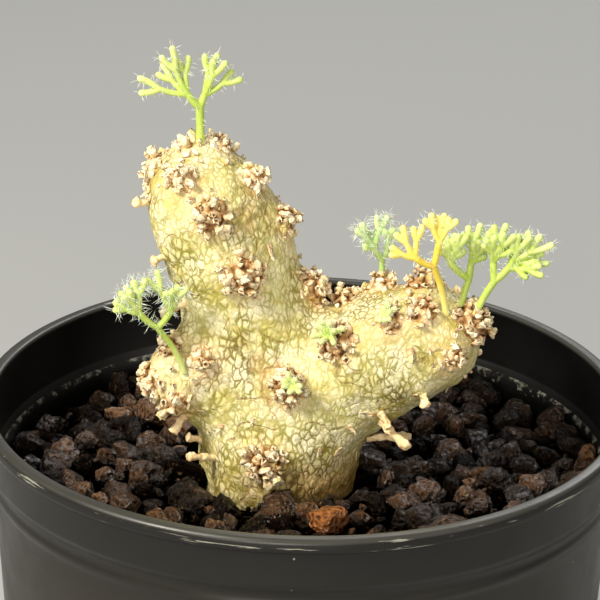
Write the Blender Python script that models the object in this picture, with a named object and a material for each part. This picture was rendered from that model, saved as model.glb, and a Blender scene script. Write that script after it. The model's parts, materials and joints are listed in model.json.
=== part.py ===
"""Potted monsonia: a dwarf caudex plant with two fat branches and a side knob, in a round
plastic pot of coarse grit.

Blender 4.5, metres, +Z up. The origin is the centre of the circle that the pot stands on,
X runs to the plant's right and Y away from its front. The plant, the grit and the stones are
built from the middle of the grit's surface and parented to an empty there, so they follow the
pot when it changes size.
"""
import math

import bmesh
import bpy
from mathutils import Matrix, Vector, noise
from mathutils.bvhtree import BVHTree

MM = 0.001

# Pot
RIM_RADIUS = 45.0 * MM
POT_HEIGHT = 80.0 * MM
FOOT_RADIUS = 38.5 * MM
WALL = 1.2 * MM
LIP_HEIGHT = 2.2 * MM
LIP_PROUD = 0.8 * MM
LIP_ROUND = 0.7 * MM
COLLAR_HEIGHT = 6.4 * MM
COLLAR_STEP = 1.0 * MM
BELT_HEIGHT = 3.0 * MM
BELT_PROUD = 0.3 * MM
FLOOR_LIFT = 2.0 * MM
FLOOR_THICKNESS = 1.4 * MM
FOOT_WIDTH = 2.6 * MM
FOOT_CHAMFER = 0.5 * MM
DRAIN_RADIUS = 1.7 * MM
DRAIN_RING_RADIUS = 22.0 * MM
DRAIN_COUNT = 6
DRAIN_SIDES = 12
NOTCH_WIDTH = 6.0 * MM
NOTCH_HEIGHT = 1.0 * MM
NOTCH_COUNT = 4
TURNED_STEPS = 40

# Grit
GRIT_DROP = 10.5 * MM
GRIT_ROUGHNESS = 0.7 * MM
GRIT_RING_STEP = 5.5 * MM
GRAIN_PITCH = 5.0 * MM
STONE_RADIUS = 2.3 * MM
STONE_ROUGHNESS = 0.3
STONE_GRAIN = 2.5 * MM
STONE_STRETCH = 1.25
STONE_FLATNESS = 0.8
STONE_LIFT_MM = 0.3

# Gap left between any two pieces that touch
GAP = 0.3 * MM

# Plant
SKIN_CELL = 2.5 * MM
BARK_SWELL = 0.35 * MM
SPUR_ROUGHNESS = 0.3
SPUR_HEIGHT = 0.75
SPUR_LIFT = 0.05
SPUR_GRAIN = 2.0 * MM
PEG_RADIUS = 0.6 * MM
PEG_KNOB_RADIUS = 0.95 * MM
PEG_ROOT = 1.0 * MM
PEG_SIDES = 7
LOBE_RADIUS = 0.52 * MM
LOBE_SIDES = 6
LEAF_ROOT = 1.2 * MM
LEAF_SEAT = 0.6
SPROUT_LIFT = 0.9 * MM
LEAF_CELL = 0.42 * MM
LEAF_THINNING = 0.2

# How a frond is laid out, as shares of its length: where its tip divides, how long each lobe
# is, how far the tip's two lobes and the side lobes spread, and where the side lobes leave it
FROND_DIVIDE = 0.74
FROND_LOBE = 0.28
FROND_FORK = 0.12
FROND_SIDE = 0.22
FROND_FIRST_SIDE = 0.5
FROND_SIDE_STEP = 0.16

GRIT_TOP = POT_HEIGHT - GRIT_DROP

# Each limb is a run of rings: x, y and height above the grit, then the ring's radius, in mm.
LIMBS = {
    "trunk": (
        (-2.6, 1.5, -34.0, 1.8),
        (-3.2, 1.5, -22.0, 4.0),
        (-3.6, 1.5, -12.0, 7.2),
        (-3.5, 1.5, -6.0, 9.9),
        (-3.4, 1.5, -0.2, 11.3),
        (-2.9, 1.5, 4.0, 11.4),
        (-3.3, 1.5, 8.6, 11.0),
        (-4.8, 1.8, 13.7, 10.0),
        (-6.5, 2.0, 18.4, 8.9),
    ),
    "tall_branch": (
        (-5.6, 1.9, 15.0, 8.7),
        (-6.5, 2.0, 18.4, 8.8),
        (-8.4, 2.3, 24.7, 8.8),
        (-10.5, 2.6, 30.4, 9.0),
        (-12.7, 2.9, 35.4, 9.0),
        (-14.3, 3.2, 39.6, 8.4),
        (-14.8, 3.3, 42.2, 7.5),
        (-15.1, 3.4, 44.0, 5.7),
        (-15.2, 3.4, 45.4, 2.6),
    ),
    "low_branch": (
        (-0.6, 1.0, 10.4, 9.2),
        (5.6, 0.0, 14.1, 9.0),
        (11.9, -1.2, 18.2, 8.7),
        (17.9, -2.3, 20.9, 7.6),
        (20.6, -2.8, 21.8, 6.4),
        (22.5, -3.1, 22.2, 4.8),
        (23.6, -3.3, 22.5, 2.4),
    ),
    "side_knob": (
        (-8.0, 0.5, 11.6, 5.6),
        (-13.2, -1.2, 13.0, 5.7),
        (-17.2, -2.3, 14.0, 5.4),
        (-19.8, -2.8, 14.3, 4.4),
        (-21.4, -3.0, 14.4, 2.4),
    ),
    "left_root": ((-5.0, 1.0, -13.0, 3.2), (-14.0, -4.0, -20.0, 2.9), (-22.0, -8.0, -30.0, 2.6)),
    "right_root": ((-1.0, 1.0, -13.0, 3.2), (9.0, -3.0, -21.0, 2.9), (17.0, -9.0, -32.0, 2.6)),
    "back_root": ((-3.0, 4.0, -14.0, 3.2), (0.0, 14.0, -22.0, 2.9), (3.0, 22.0, -33.0, 2.6)),
}
LIMB_SIDES = 14
LIMB_SUBSTEPS = 3

# Short shoots, each a mound of old leaf bases. Its seat is a limb, a share of the limb's
# length, a bearing round the limb (0 faces the front) and a tilt towards the limb's tip, in
# degrees; then comes the mound's radius in mm.
SPURS = {
    "spur_crown": ("tall_branch", 0.93, -40, 78, 2.6),
    "spur_crown_left": ("tall_branch", 0.90, -98, 12, 2.4),
    "spur_crown_right": ("tall_branch", 0.92, 96, 40, 2.2),
    "spur_crown_front": ("tall_branch", 0.90, -18, 8, 2.4),
    "spur_tall_right_high": ("tall_branch", 0.84, 70, 0, 2.3),
    "spur_tall_front_high": ("tall_branch", 0.77, 8, 0, 2.6),
    "spur_tall_right": ("tall_branch", 0.59, 78, 0, 2.5),
    "spur_tall_front": ("tall_branch", 0.48, 13, 0, 3.0),
    "spur_crotch": ("tall_branch", 0.26, 84, 0, 2.9),
    "spur_low_inner": ("low_branch", 0.44, -104, 0, 2.2),
    "spur_low_top": ("low_branch", 0.60, -112, 0, 2.8),
    "spur_low_top_tip": ("low_branch", 0.79, -104, 0, 2.5),
    "spur_low_cup": ("low_branch", 0.41, -51, 0, 3.0),
    "spur_low_front": ("low_branch", 0.66, -51, 0, 2.2),
    "spur_low_front_tip": ("low_branch", 0.795, -54, 0, 2.6),
    "spur_low_end": ("low_branch", 0.92, -52, 24, 3.2),
    "spur_low_end_stub": ("low_branch", 0.89, 10, 0, 1.8),
    "spur_knob_top": ("side_knob", 0.80, 80, 0, 2.3),
    "spur_knob_end": ("side_knob", 0.90, 14, 30, 2.6),
    "spur_knob_inner": ("side_knob", 0.60, 56, 0, 2.0),
    "spur_knob_under": ("side_knob", 0.76, -24, 0, 2.2),
    "spur_trunk_front": ("trunk", 0.92, 18, 0, 2.8),
    "spur_trunk_low": ("trunk", 0.735, -12, 0, 2.8),
    "spur_back_high": ("tall_branch", 0.84, 170, 0, 2.7),
    "spur_back_left": ("tall_branch", 0.66, -140, 0, 2.8),
    "spur_back_middle": ("tall_branch", 0.44, 165, 0, 3.0),
    "spur_back_low": ("low_branch", 0.52, 170, 0, 2.8),
    "spur_back_tip": ("low_branch", 0.80, -165, 0, 2.7),
    "spur_back_trunk": ("trunk", 0.84, 175, 0, 2.9),
}

# Dry leaf stalks: a seat as for the spurs, then where the tip lies from the seat, in mm.
PEGS = {
    "peg_tall_left_high": ("tall_branch", 0.84, -66, 0, (-2.4, -0.8, 0.2)),
    "peg_tall_left": ("tall_branch", 0.64, -56, 0, (-2.3, -1.0, -0.4)),
    "peg_tall_left_low": ("tall_branch", 0.41, -55, 0, (-3.8, -1.5, -1.4)),
    "peg_crotch": ("low_branch", 0.44, -152, 0, (1.6, 0.4, 2.6)),
    "peg_low_under": ("low_branch", 0.68, 32, 0, (0.6, -1.4, -2.2)),
    "peg_low_middle": ("low_branch", 0.41, 26, 0, (1.7, -1.6, -2.4)),
    "peg_right_front": ("trunk", 0.80, 58, 0, (4.2, -3.4, -2.8)),
    "peg_right_rod": ("trunk", 0.745, 66, 0, (6.8, 0.6, 0.6)),
    "peg_knob_under": ("side_knob", 0.60, -40, 0, (-2.2, -0.6, -2.8)),
    "peg_foot_left": ("trunk", 0.69, -72, 0, (-2.4, -0.4, 0.9)),
    "peg_foot_left_front": ("trunk", 0.675, -54, 0, (-4.0, -2.2, 1.2)),
    "peg_foot_front": ("trunk", 0.71, -6, 0, (-0.8, -3.2, -1.2)),
    "peg_back": ("low_branch", 0.30, 175, 0, (1.2, 3.2, 0.6)),
}

# Leaves, all offsets in mm: the spur that bears the leaf, where the stalk leaves that spur
# (from its middle), where the stalk forks (from its foot), side lobes on each frond, then one
# entry per arm: where the arm divides (from the fork), then its frond tips (from the fork).
LEAVES = {
    "leaf_crown": (
        "spur_crown", (1.6, -0.4, 0.1), (-0.2, 0.0, 6.0), 1,
        ((-1.7, -0.4, 1.9), (-8.3, -1.2, 3.8), (-4.6, -0.4, 8.0), (-5.4, 1.6, 4.8), (-2.3, 1.2, 6.3)),
        ((0.6, 0.4, 1.6), (-1.0, -0.8, 5.3), (1.6, 0.8, 7.2), (2.8, -0.8, 6.9), (5.1, 0.4, 4.6)),
    ),
    "leaf_knob": (
        "spur_knob_inner", (-2.5, -1.0, -1.0), (-3.6, -1.2, 6.0), 1,
        (
            (-2.5, -0.5, 2.3), (-5.9, -1.2, 3.6), (-5.4, 0.5, 4.4), (-4.2, -1.4, 5.6),
            (-3.9, 0.8, 6.2), (-2.4, -0.4, 7.2),
        ),
        ((1.8, 0.3, 2.4), (-0.9, 0.6, 7.6), (1.5, -0.9, 5.8), (3.4, -0.6, 6.4)),
    ),
    "leaf_low_inner": (
        "spur_low_top", (0.6, -0.4, 0.4), (-0.2, 0.0, 2.9), 1,
        ((-1.1, -0.4, 1.7), (-3.3, -0.4, 4.9), (-2.5, -1.2, 2.2), (-1.5, 1.0, 3.6), (0.0, 0.0, 6.4)),
        ((0.8, 0.5, 1.0), (0.9, -0.8, 4.7), (2.0, 0.9, 4.2)),
    ),
    "leaf_yellow": (
        "spur_low_front_tip", (3.9, 0.6, 0.3), (-1.9, -1.2, 6.2), 1,
        (
            (-2.6, -0.8, 1.5), (-3.9, 0.2, 5.4), (-2.2, 0.4, 5.7), (-5.3, -0.9, 4.6),
            (-5.8, -1.4, 2.9), (-4.3, -2.0, 2.4),
        ),
        ((0.6, 0.0, 3.2), (-1.3, -0.2, 7.2), (-0.2, 0.9, 7.4), (1.1, -0.4, 7.4), (2.5, 0.2, 6.6)),
    ),
    "leaf_low_middle": (
        "spur_low_end", (-2.2, 1.0, 0.6), (1.3, 1.0, 4.4), 2,
        ((-2.6, -0.6, 2.4), (-3.4, -0.4, 5.0), (-2.6, 1.0, 6.0), (-1.0, 0.2, 6.3)),
        ((0.2, 0.4, 1.8), (0.5, 0.8, 7.6), (1.9, -0.4, 5.6), (2.2, 1.0, 7.0)),
    ),
    "leaf_low_end": (
        "spur_low_end", (-0.3, -0.3, 0.5), (2.6, 0.2, 4.9), 2,
        ((-0.2, 0.4, 2.6), (-0.8, -0.6, 6.6), (0.6, 0.8, 8.0), (1.8, -0.6, 7.2)),
        (
            (2.0, 0.2, 2.0), (2.8, 1.2, 6.0), (3.8, -0.6, 7.0), (5.4, 0.8, 6.8),
            (7.0, -0.4, 6.4), (7.0, 0.8, 3.2), (6.4, -1.2, 2.1),
        ),
    ),
}

# New leaves still folded: the spur, then where each lobe's tip lies from the tuft's middle,
# which sits just clear of the spur.
SPROUTS = {
    "sprout_low_cup": (
        "spur_low_cup", (-1.0, -0.2, 1.3), (0.5, -1.0, 1.2), (1.3, 0.2, 0.6), (0.2, 0.9, 1.6),
    ),
    "sprout_trunk_front": ("spur_trunk_front", (-0.5, -0.9, 0.7), (0.7, -0.8, 0.9)),
    "sprout_low_front": ("spur_low_front", (-0.6, -0.6, 0.8), (0.7, -0.5, 0.9)),
}

# Larger stones that lie proud of the bed: x, y, a size factor and a turn in degrees.
STONES = {
    "stone_orange": (3.4, -18.4, 1.05, 20),
    "stone_left": (-24.0, -14.0, 1.0, 75),
    "stone_front": (-8.5, -25.0, 0.95, 130),
    "stone_right": (20.5, -19.5, 1.1, 210),
    "stone_back": (15.0, 24.0, 1.0, 290),
    "stone_back_left": (-22.0, 17.0, 1.05, 330),
}

BARK = (0.62, 0.56, 0.33)
CORK = (0.66, 0.52, 0.34)
DRY = (0.55, 0.40, 0.26)
BLACK_PLASTIC = (0.012, 0.012, 0.013)
GRIT = (0.045, 0.033, 0.027)
ORANGE_GRIT = (0.28, 0.12, 0.05)
LEAF_GREEN = (0.36, 0.55, 0.12)
LEAF_BLUE_GREEN = (0.38, 0.55, 0.26)
LEAF_YELLOW = (0.70, 0.62, 0.12)
SPROUT_GREEN = (0.30, 0.48, 0.10)


def clear_scene():
    """Empties the scene that the script starts in."""
    for old in list(bpy.data.objects):
        bpy.data.objects.remove(old, do_unlink=True)


def finish(name, colour, roughness, metallic=0.0):
    """A plain Principled material."""
    made = bpy.data.materials.new(name)
    made.use_nodes = True
    shader = made.node_tree.nodes["Principled BSDF"]
    shader.inputs["Base Color"].default_value = (*colour, 1.0)
    shader.inputs["Roughness"].default_value = roughness
    shader.inputs["Metallic"].default_value = metallic
    return made


def add_object(name, bm, material=None, smooth=True):
    """Puts a bmesh in the scene as a named object, and frees the bmesh."""
    mesh = bpy.data.meshes.new(name)
    bm.to_mesh(mesh)
    bm.free()
    if material:
        mesh.materials.append(material)
    if smooth:
        mesh.shade_smooth()
        mesh.set_sharp_from_angle(angle=math.radians(40))
    made = bpy.data.objects.new(name, mesh)
    bpy.context.scene.collection.objects.link(made)
    return made


def apply_modifiers(part):
    """Replaces an object's mesh with what its modifiers make of it."""
    bpy.context.view_layer.update()
    graph = bpy.context.evaluated_depsgraph_get()
    shaped = bpy.data.meshes.new_from_object(part.evaluated_get(graph))
    part.modifiers.clear()
    part.data = shaped


def discard(part):
    """Removes a helper object and its mesh."""
    mesh = part.data
    bpy.data.objects.remove(part, do_unlink=True)
    bpy.data.meshes.remove(mesh)


def cut(part, cutter):
    """Cuts a piece with a closed cutter and removes the cutter."""
    boolean = part.modifiers.new("cut", "BOOLEAN")
    boolean.operation = "DIFFERENCE"
    boolean.solver = "EXACT"
    boolean.object = cutter
    apply_modifiers(part)
    discard(cutter)


def skin_of(part, thickness):
    """A copy of a piece, swollen along its vertex normals."""
    bm = bmesh.new()
    bm.from_mesh(part.data)
    bmesh.ops.remove_doubles(bm, verts=bm.verts, dist=1e-6)
    bm.normal_update()
    moves = [vert.normal * thickness for vert in bm.verts]
    for vert, move in zip(bm.verts, moves):
        vert.co += move
    return add_object(part.name + "_clearance", bm, smooth=False)


def near(part, other):
    """Whether the boxes of two pieces come within the gap of each other."""
    first = [vert.co for vert in part.data.vertices]
    second = [vert.co for vert in other.data.vertices]
    for axis in range(3):
        if min(co[axis] for co in first) > max(co[axis] for co in second) + GAP:
            return False
        if max(co[axis] for co in first) < min(co[axis] for co in second) - GAP:
            return False
    return True


def drop_crumbs(part):
    """Keeps the largest body of a piece and removes any crumbs that a cut left beside it."""
    bm = bmesh.new()
    bm.from_mesh(part.data)
    left = set(bm.faces)
    bodies = []
    while left:
        edge = [left.pop()]
        body = set(edge)
        while edge:
            around = {face for old in edge for side in old.edges for face in side.link_faces}
            edge = list(around - body)
            body.update(edge)
        left -= body
        bodies.append(body)
    bodies.sort(key=len)
    for crumb in bodies[:-1]:
        bmesh.ops.delete(bm, geom=list(crumb), context="FACES")
    bm.to_mesh(part.data)
    bm.free()


def clear_of(part, others):
    """Cuts a piece back until it stands the gap away from each of its neighbours."""
    for other in others:
        if near(part, other):
            cut(part, skin_of(other, GAP))
    drop_crumbs(part)


def turned(name, profile, material, smooth=True):
    """Spins a run of (radius, height) points, from the axis round to the axis, about Z."""
    bm = bmesh.new()
    verts = [bm.verts.new((radius, 0.0, height)) for radius, height in profile]
    edges = [bm.edges.new(pair) for pair in zip(verts, verts[1:])]
    bmesh.ops.spin(
        bm,
        geom=verts + edges,
        cent=(0.0, 0.0, 0.0),
        axis=(0.0, 0.0, 1.0),
        angle=math.tau,
        steps=TURNED_STEPS,
        use_merge=True,
    )
    bmesh.ops.remove_doubles(bm, verts=bm.verts, dist=1e-6)
    bmesh.ops.recalc_face_normals(bm, faces=bm.faces)
    return add_object(name, bm, material, smooth=smooth)


def wall_radius(height):
    """Outer radius of the pot's plain wall at a height."""
    top = RIM_RADIUS - LIP_PROUD - COLLAR_STEP
    return FOOT_RADIUS + (top - FOOT_RADIUS) * height / (POT_HEIGHT - LIP_HEIGHT - COLLAR_HEIGHT)


def inner_radius(height):
    """Inner radius of the pot at a height below its ledge."""
    return wall_radius(height) - WALL


def arc(centre_x, centre_z, radius, start, end, steps):
    """Points of a round corner, from one angle to another in degrees."""
    run = []
    for step in range(steps + 1):
        angle = math.radians(start + (end - start) * step / steps)
        run.append((centre_x + radius * math.cos(angle), centre_z + radius * math.sin(angle)))
    return run


def make_pot():
    """The pot: foot ring, drained floor, tapered wall, belt, collar and rounded lip."""
    collar = RIM_RADIUS - LIP_PROUD
    belt_top = POT_HEIGHT - LIP_HEIGHT - COLLAR_HEIGHT
    lip_inner = collar - WALL
    floor_top = FLOOR_LIFT + FLOOR_THICKNESS
    profile = [(0.0, FLOOR_LIFT), (FOOT_RADIUS - FOOT_WIDTH, FLOOR_LIFT)]
    profile += [(FOOT_RADIUS - FOOT_WIDTH, 0.0), (FOOT_RADIUS - FOOT_CHAMFER, 0.0)]
    profile += [(wall_radius(FOOT_CHAMFER), FOOT_CHAMFER)]
    profile += [(wall_radius(belt_top - BELT_HEIGHT), belt_top - BELT_HEIGHT)]
    profile += [(wall_radius(belt_top - BELT_HEIGHT / 2) + BELT_PROUD, belt_top - BELT_HEIGHT / 2)]
    profile += [(wall_radius(belt_top), belt_top)]
    profile += [(collar, belt_top + COLLAR_STEP), (collar, POT_HEIGHT - LIP_HEIGHT)]
    profile += arc(RIM_RADIUS - LIP_ROUND, POT_HEIGHT - LIP_HEIGHT + LIP_ROUND, LIP_ROUND, -60, 0, 2)
    profile += arc(RIM_RADIUS - LIP_ROUND, POT_HEIGHT - LIP_ROUND, LIP_ROUND, 0, 90, 3)
    profile += [(lip_inner + LIP_ROUND, POT_HEIGHT), (lip_inner, POT_HEIGHT - LIP_ROUND)]
    profile += [(lip_inner, belt_top), (inner_radius(belt_top - WALL), belt_top - WALL)]
    profile += [(inner_radius(floor_top), floor_top), (0.0, floor_top)]
    pot = turned("pot", profile, finish("black_plastic", BLACK_PLASTIC, 0.4))
    holes = [(0.0, 0.0)]
    for index in range(DRAIN_COUNT):
        angle = math.tau * index / DRAIN_COUNT
        holes.append((DRAIN_RING_RADIUS * math.cos(angle), DRAIN_RING_RADIUS * math.sin(angle)))
    for x, y in holes:
        bm = bmesh.new()
        bmesh.ops.create_cone(
            bm,
            cap_ends=True,
            segments=DRAIN_SIDES,
            radius1=DRAIN_RADIUS,
            radius2=DRAIN_RADIUS,
            depth=4 * floor_top,
            matrix=Matrix.Translation((x, y, floor_top)),
        )
        cut(pot, add_object("drain_cutter", bm, smooth=False))
    for index in range(NOTCH_COUNT):
        angle = math.tau * (index + 0.5) / NOTCH_COUNT
        bm = bmesh.new()
        bmesh.ops.create_cube(bm, size=1.0)
        size = Matrix.Diagonal((4 * FOOT_WIDTH, NOTCH_WIDTH, 2 * NOTCH_HEIGHT, 1.0))
        place = Matrix.Rotation(angle, 4, "Z") @ Matrix.Translation((FOOT_RADIUS, 0.0, 0.0))
        bmesh.ops.transform(bm, matrix=place @ size, verts=bm.verts)
        cut(pot, add_object("notch_cutter", bm, smooth=False))
    return pot


def in_mm(x, y, z):
    """A point given in mm from the middle of the grit's surface."""
    return Vector((x, y, z)) * MM


def smooth_run(values, substeps):
    """Points of a Catmull-Rom curve through lists of numbers of equal length."""
    run = []
    for index in range(len(values) - 1):
        before = values[max(index - 1, 0)]
        start, end = values[index], values[index + 1]
        after = values[min(index + 2, len(values) - 1)]
        for step in range(substeps):
            t = step / substeps
            point = []
            for a, b, c, d in zip(before, start, end, after):
                bend = 2 * a - 5 * b + 4 * c - d
                point.append(0.5 * (2 * b + (c - a) * t + bend * t * t + (3 * b - a - 3 * c + d) * t ** 3))
            run.append(tuple(point))
    run.append(tuple(values[-1]))
    return run


def tube(bm, points, radii, sides):
    """Adds a closed round tube through points, with a radius at each of them."""
    heading = (points[1] - points[0]).normalized()
    side = heading.orthogonal().normalized()
    rings = []
    for index, (point, radius) in enumerate(zip(points, radii)):
        ahead = points[min(index + 1, len(points) - 1)]
        behind = points[max(index - 1, 0)]
        heading = (ahead - behind).normalized()
        side = (side - heading * side.dot(heading)).normalized()
        other = heading.cross(side)
        ring = []
        for step in range(sides):
            angle = math.tau * step / sides
            ring.append(bm.verts.new(point + (side * math.cos(angle) + other * math.sin(angle)) * radius))
        rings.append(ring)
    for low, high in zip(rings, rings[1:]):
        for step in range(sides):
            nxt = (step + 1) % sides
            bm.faces.new((low[step], low[nxt], high[nxt], high[step]))
    bm.faces.new(list(reversed(rings[0])))
    bm.faces.new(rings[-1])


def make_caudex():
    """The swollen stem in one piece: trunk, both branches, side knob and buried roots."""
    bm = bmesh.new()
    for rings in LIMBS.values():
        run = smooth_run(rings, LIMB_SUBSTEPS)
        points = [in_mm(x, y, z) for x, y, z, radius in run]
        tube(bm, points, [radius * MM for x, y, z, radius in run], LIMB_SIDES)
    bmesh.ops.recalc_face_normals(bm, faces=bm.faces)
    caudex = add_object("caudex", bm, smooth=False)
    remesh = caudex.modifiers.new("one_skin", "REMESH")
    remesh.mode = "VOXEL"
    remesh.voxel_size = SKIN_CELL
    relax = caudex.modifiers.new("relax", "SMOOTH")
    relax.factor = 0.5
    relax.iterations = 4
    apply_modifiers(caudex)
    for vert in caudex.data.vertices:
        swell = noise.noise(vert.co / (7.0 * MM)) + 0.6 * noise.noise(vert.co / (3.0 * MM))
        vert.co += vert.normal * (swell * BARK_SWELL)
    caudex.data.materials.append(finish("bark", BARK, 0.7))
    caudex.data.shade_smooth()
    return caudex


def limb_lines():
    """Each limb's centre line, as points."""
    lines = {}
    for name, rings in LIMBS.items():
        run = smooth_run(rings, LIMB_SUBSTEPS)
        lines[name] = [in_mm(x, y, z) for x, y, z, radius in run]
    return lines


def point_along(line, share):
    """The point at a share of a line's length, and the heading there."""
    lengths = [(after - before).length for before, after in zip(line, line[1:])]
    left = share * sum(lengths)
    for before, after, length in zip(line, line[1:], lengths):
        if left <= length:
            break
        left -= length
    heading = (after - before).normalized()
    return before + heading * left, heading


def seat_on(tree, line, share, bearing, tilt):
    """Where a line from inside a limb leaves the bark, and the bark's outward direction there."""
    middle, heading = point_along(line, share)
    front = Vector((0.0, -1.0, 0.0))
    front = (front - heading * front.dot(heading)).normalized()
    side = heading.cross(front)
    turn, lift = math.radians(bearing), math.radians(tilt)
    outward = (front * math.cos(turn) + side * math.sin(turn)) * math.cos(lift)
    outward += heading * math.sin(lift)
    place, normal, _, _ = tree.ray_cast(middle, outward)
    return place, (normal + outward).normalized()


def make_spur(name, place, outward, radius, material):
    """A low knobbly mound seated on the bark."""
    bm = bmesh.new()
    bmesh.ops.create_icosphere(bm, subdivisions=2, radius=1.0)
    for vert in bm.verts:
        lump = 1.0 + SPUR_ROUGHNESS * noise.noise(vert.co * 1.9 + place / SPUR_GRAIN)
        vert.co *= lump
    turn = outward.to_track_quat("Z", "X").to_matrix().to_4x4()
    size = Matrix.Diagonal((radius, radius, radius * SPUR_HEIGHT, 1.0))
    centre = Matrix.Translation(place + outward * radius * SPUR_LIFT)
    bmesh.ops.transform(bm, matrix=centre @ turn @ size, verts=bm.verts)
    return add_object(name, bm, material)


def make_peg(name, place, outward, reach, material):
    """A dry leaf stalk that ends in the knob where its blade broke off."""
    bm = bmesh.new()
    tip = place + Vector(reach) * MM
    root = place - outward * PEG_ROOT
    steps = (0.0, 0.35, 0.72, 0.84, 1.0)
    radii = (PEG_RADIUS * 1.3, PEG_RADIUS, PEG_RADIUS, PEG_KNOB_RADIUS, PEG_KNOB_RADIUS * 0.6)
    tube(bm, [root.lerp(tip, step) for step in steps], radii, PEG_SIDES)
    return add_object(name, bm, material)


def lobe(bm, start, end, taper=0.85):
    """One round lobe of a leaf with a blunt end."""
    length = (end - start).length
    shares = (0.0, 0.5, 1.0 - 0.4 * LOBE_RADIUS / length, 1.0)
    radii = (LOBE_RADIUS, LOBE_RADIUS * 0.95, LOBE_RADIUS * taper, LOBE_RADIUS * 0.5)
    tube(bm, [start.lerp(end, share) for share in shares], radii, LOBE_SIDES)


def frond(bm, start, tip, side_lobes, facing):
    """A rib with side lobes and a tip that divides in two."""
    rib = tip - start
    length = rib.length
    across = rib.cross(facing).normalized()
    divide = start + rib * FROND_DIVIDE
    lobe(bm, start, divide)
    for hand in (-1, 1):
        lobe(bm, divide, divide + rib * FROND_LOBE + across * hand * length * FROND_FORK)
    for index in range(side_lobes):
        hand = 1 if index % 2 else -1
        root = start + rib * (FROND_FIRST_SIDE - FROND_SIDE_STEP * index)
        lobe(bm, root, root + rib * FROND_LOBE + across * hand * length * FROND_SIDE)


def make_leaf(name, foot, outward, stalk, side_lobes, arms, material):
    """A leaf: a bare stalk, its arms, and on each arm the fronds with their lobes."""
    bm = bmesh.new()
    fork = foot + Vector(stalk) * MM
    facing = Vector((0.0, -1.0, 0.25)).normalized()
    bow = foot.lerp(fork, 0.45) + outward * LOBE_RADIUS
    tube(bm, [foot - outward * LEAF_ROOT, foot, bow, fork], [LOBE_RADIUS] * 4, LOBE_SIDES)
    for division, *tips in arms:
        parting = fork + Vector(division) * MM
        lobe(bm, fork, parting, 1.0)
        for tip in tips:
            frond(bm, parting, fork + Vector(tip) * MM, side_lobes, facing)
    return one_leaf_skin(name, bm, material)


def one_leaf_skin(name, bm, material):
    """Grows a bundle of lobes together into one closed skin."""
    leaf = add_object(name, bm, smooth=False)
    remesh = leaf.modifiers.new("one_skin", "REMESH")
    remesh.mode = "VOXEL"
    remesh.voxel_size = LEAF_CELL
    thin = leaf.modifiers.new("thin", "DECIMATE")
    thin.ratio = LEAF_THINNING
    apply_modifiers(leaf)
    leaf.data.materials.append(material)
    leaf.data.shade_smooth()
    return leaf


def make_sprout(name, middle, outward, tips, material):
    """A tuft of folded new leaves on a short foot."""
    bm = bmesh.new()
    lobe(bm, middle - outward * SPROUT_LIFT, middle, 1.0)
    for tip in tips:
        lobe(bm, middle, middle + Vector(tip) * MM, 1.0)
    return one_leaf_skin(name, bm, material)


def make_stone(name, x, y, size, turn, material):
    """One angular stone that lies half sunk in the bed."""
    bm = bmesh.new()
    bmesh.ops.create_icosphere(bm, subdivisions=2, radius=STONE_RADIUS * size)
    for vert in bm.verts:
        lump = noise.noise(vert.co / STONE_GRAIN + Vector((x, y, 0.0)))
        vert.co *= 1.0 + STONE_ROUGHNESS * lump
        vert.co.x *= STONE_STRETCH
        vert.co.z *= STONE_FLATNESS
    place = Matrix.Translation(in_mm(x, y, STONE_LIFT_MM)) @ Matrix.Rotation(math.radians(turn), 4, "Z")
    bmesh.ops.transform(bm, matrix=place, verts=bm.verts)
    return add_object(name, bm, material, smooth=False)


def make_grit_bed(neighbours):
    """The bed of grit that fills the pot, with hollows for all that is bedded in it."""
    floor = FLOOR_LIFT + FLOOR_THICKNESS + GAP
    edge = inner_radius(GRIT_TOP) - GAP
    profile = [(0.0, floor - GRIT_TOP), (inner_radius(floor) - GAP, floor - GRIT_TOP)]
    ring_count = round(edge / GRIT_RING_STEP)
    profile += [(edge * index / ring_count, 0.0) for index in range(ring_count, -1, -1)]
    bed = turned("grit_bed", profile, finish("dark_grit", GRIT, 0.9), smooth=False)
    for vert in bed.data.vertices:
        if vert.co.z > -GAP:
            vert.co.z -= GRIT_ROUGHNESS * (0.5 + noise.noise(vert.co / GRAIN_PITCH))
    clear_of(bed, neighbours)
    return bed


def stand_in_pot(parts):
    """Parents the plant and the grit to an empty at the height of the grit's surface."""
    surface = bpy.data.objects.new("grit_surface", None)
    bpy.context.scene.collection.objects.link(surface)
    surface.location.z = GRIT_TOP
    for part in parts:
        part.parent = surface


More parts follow.
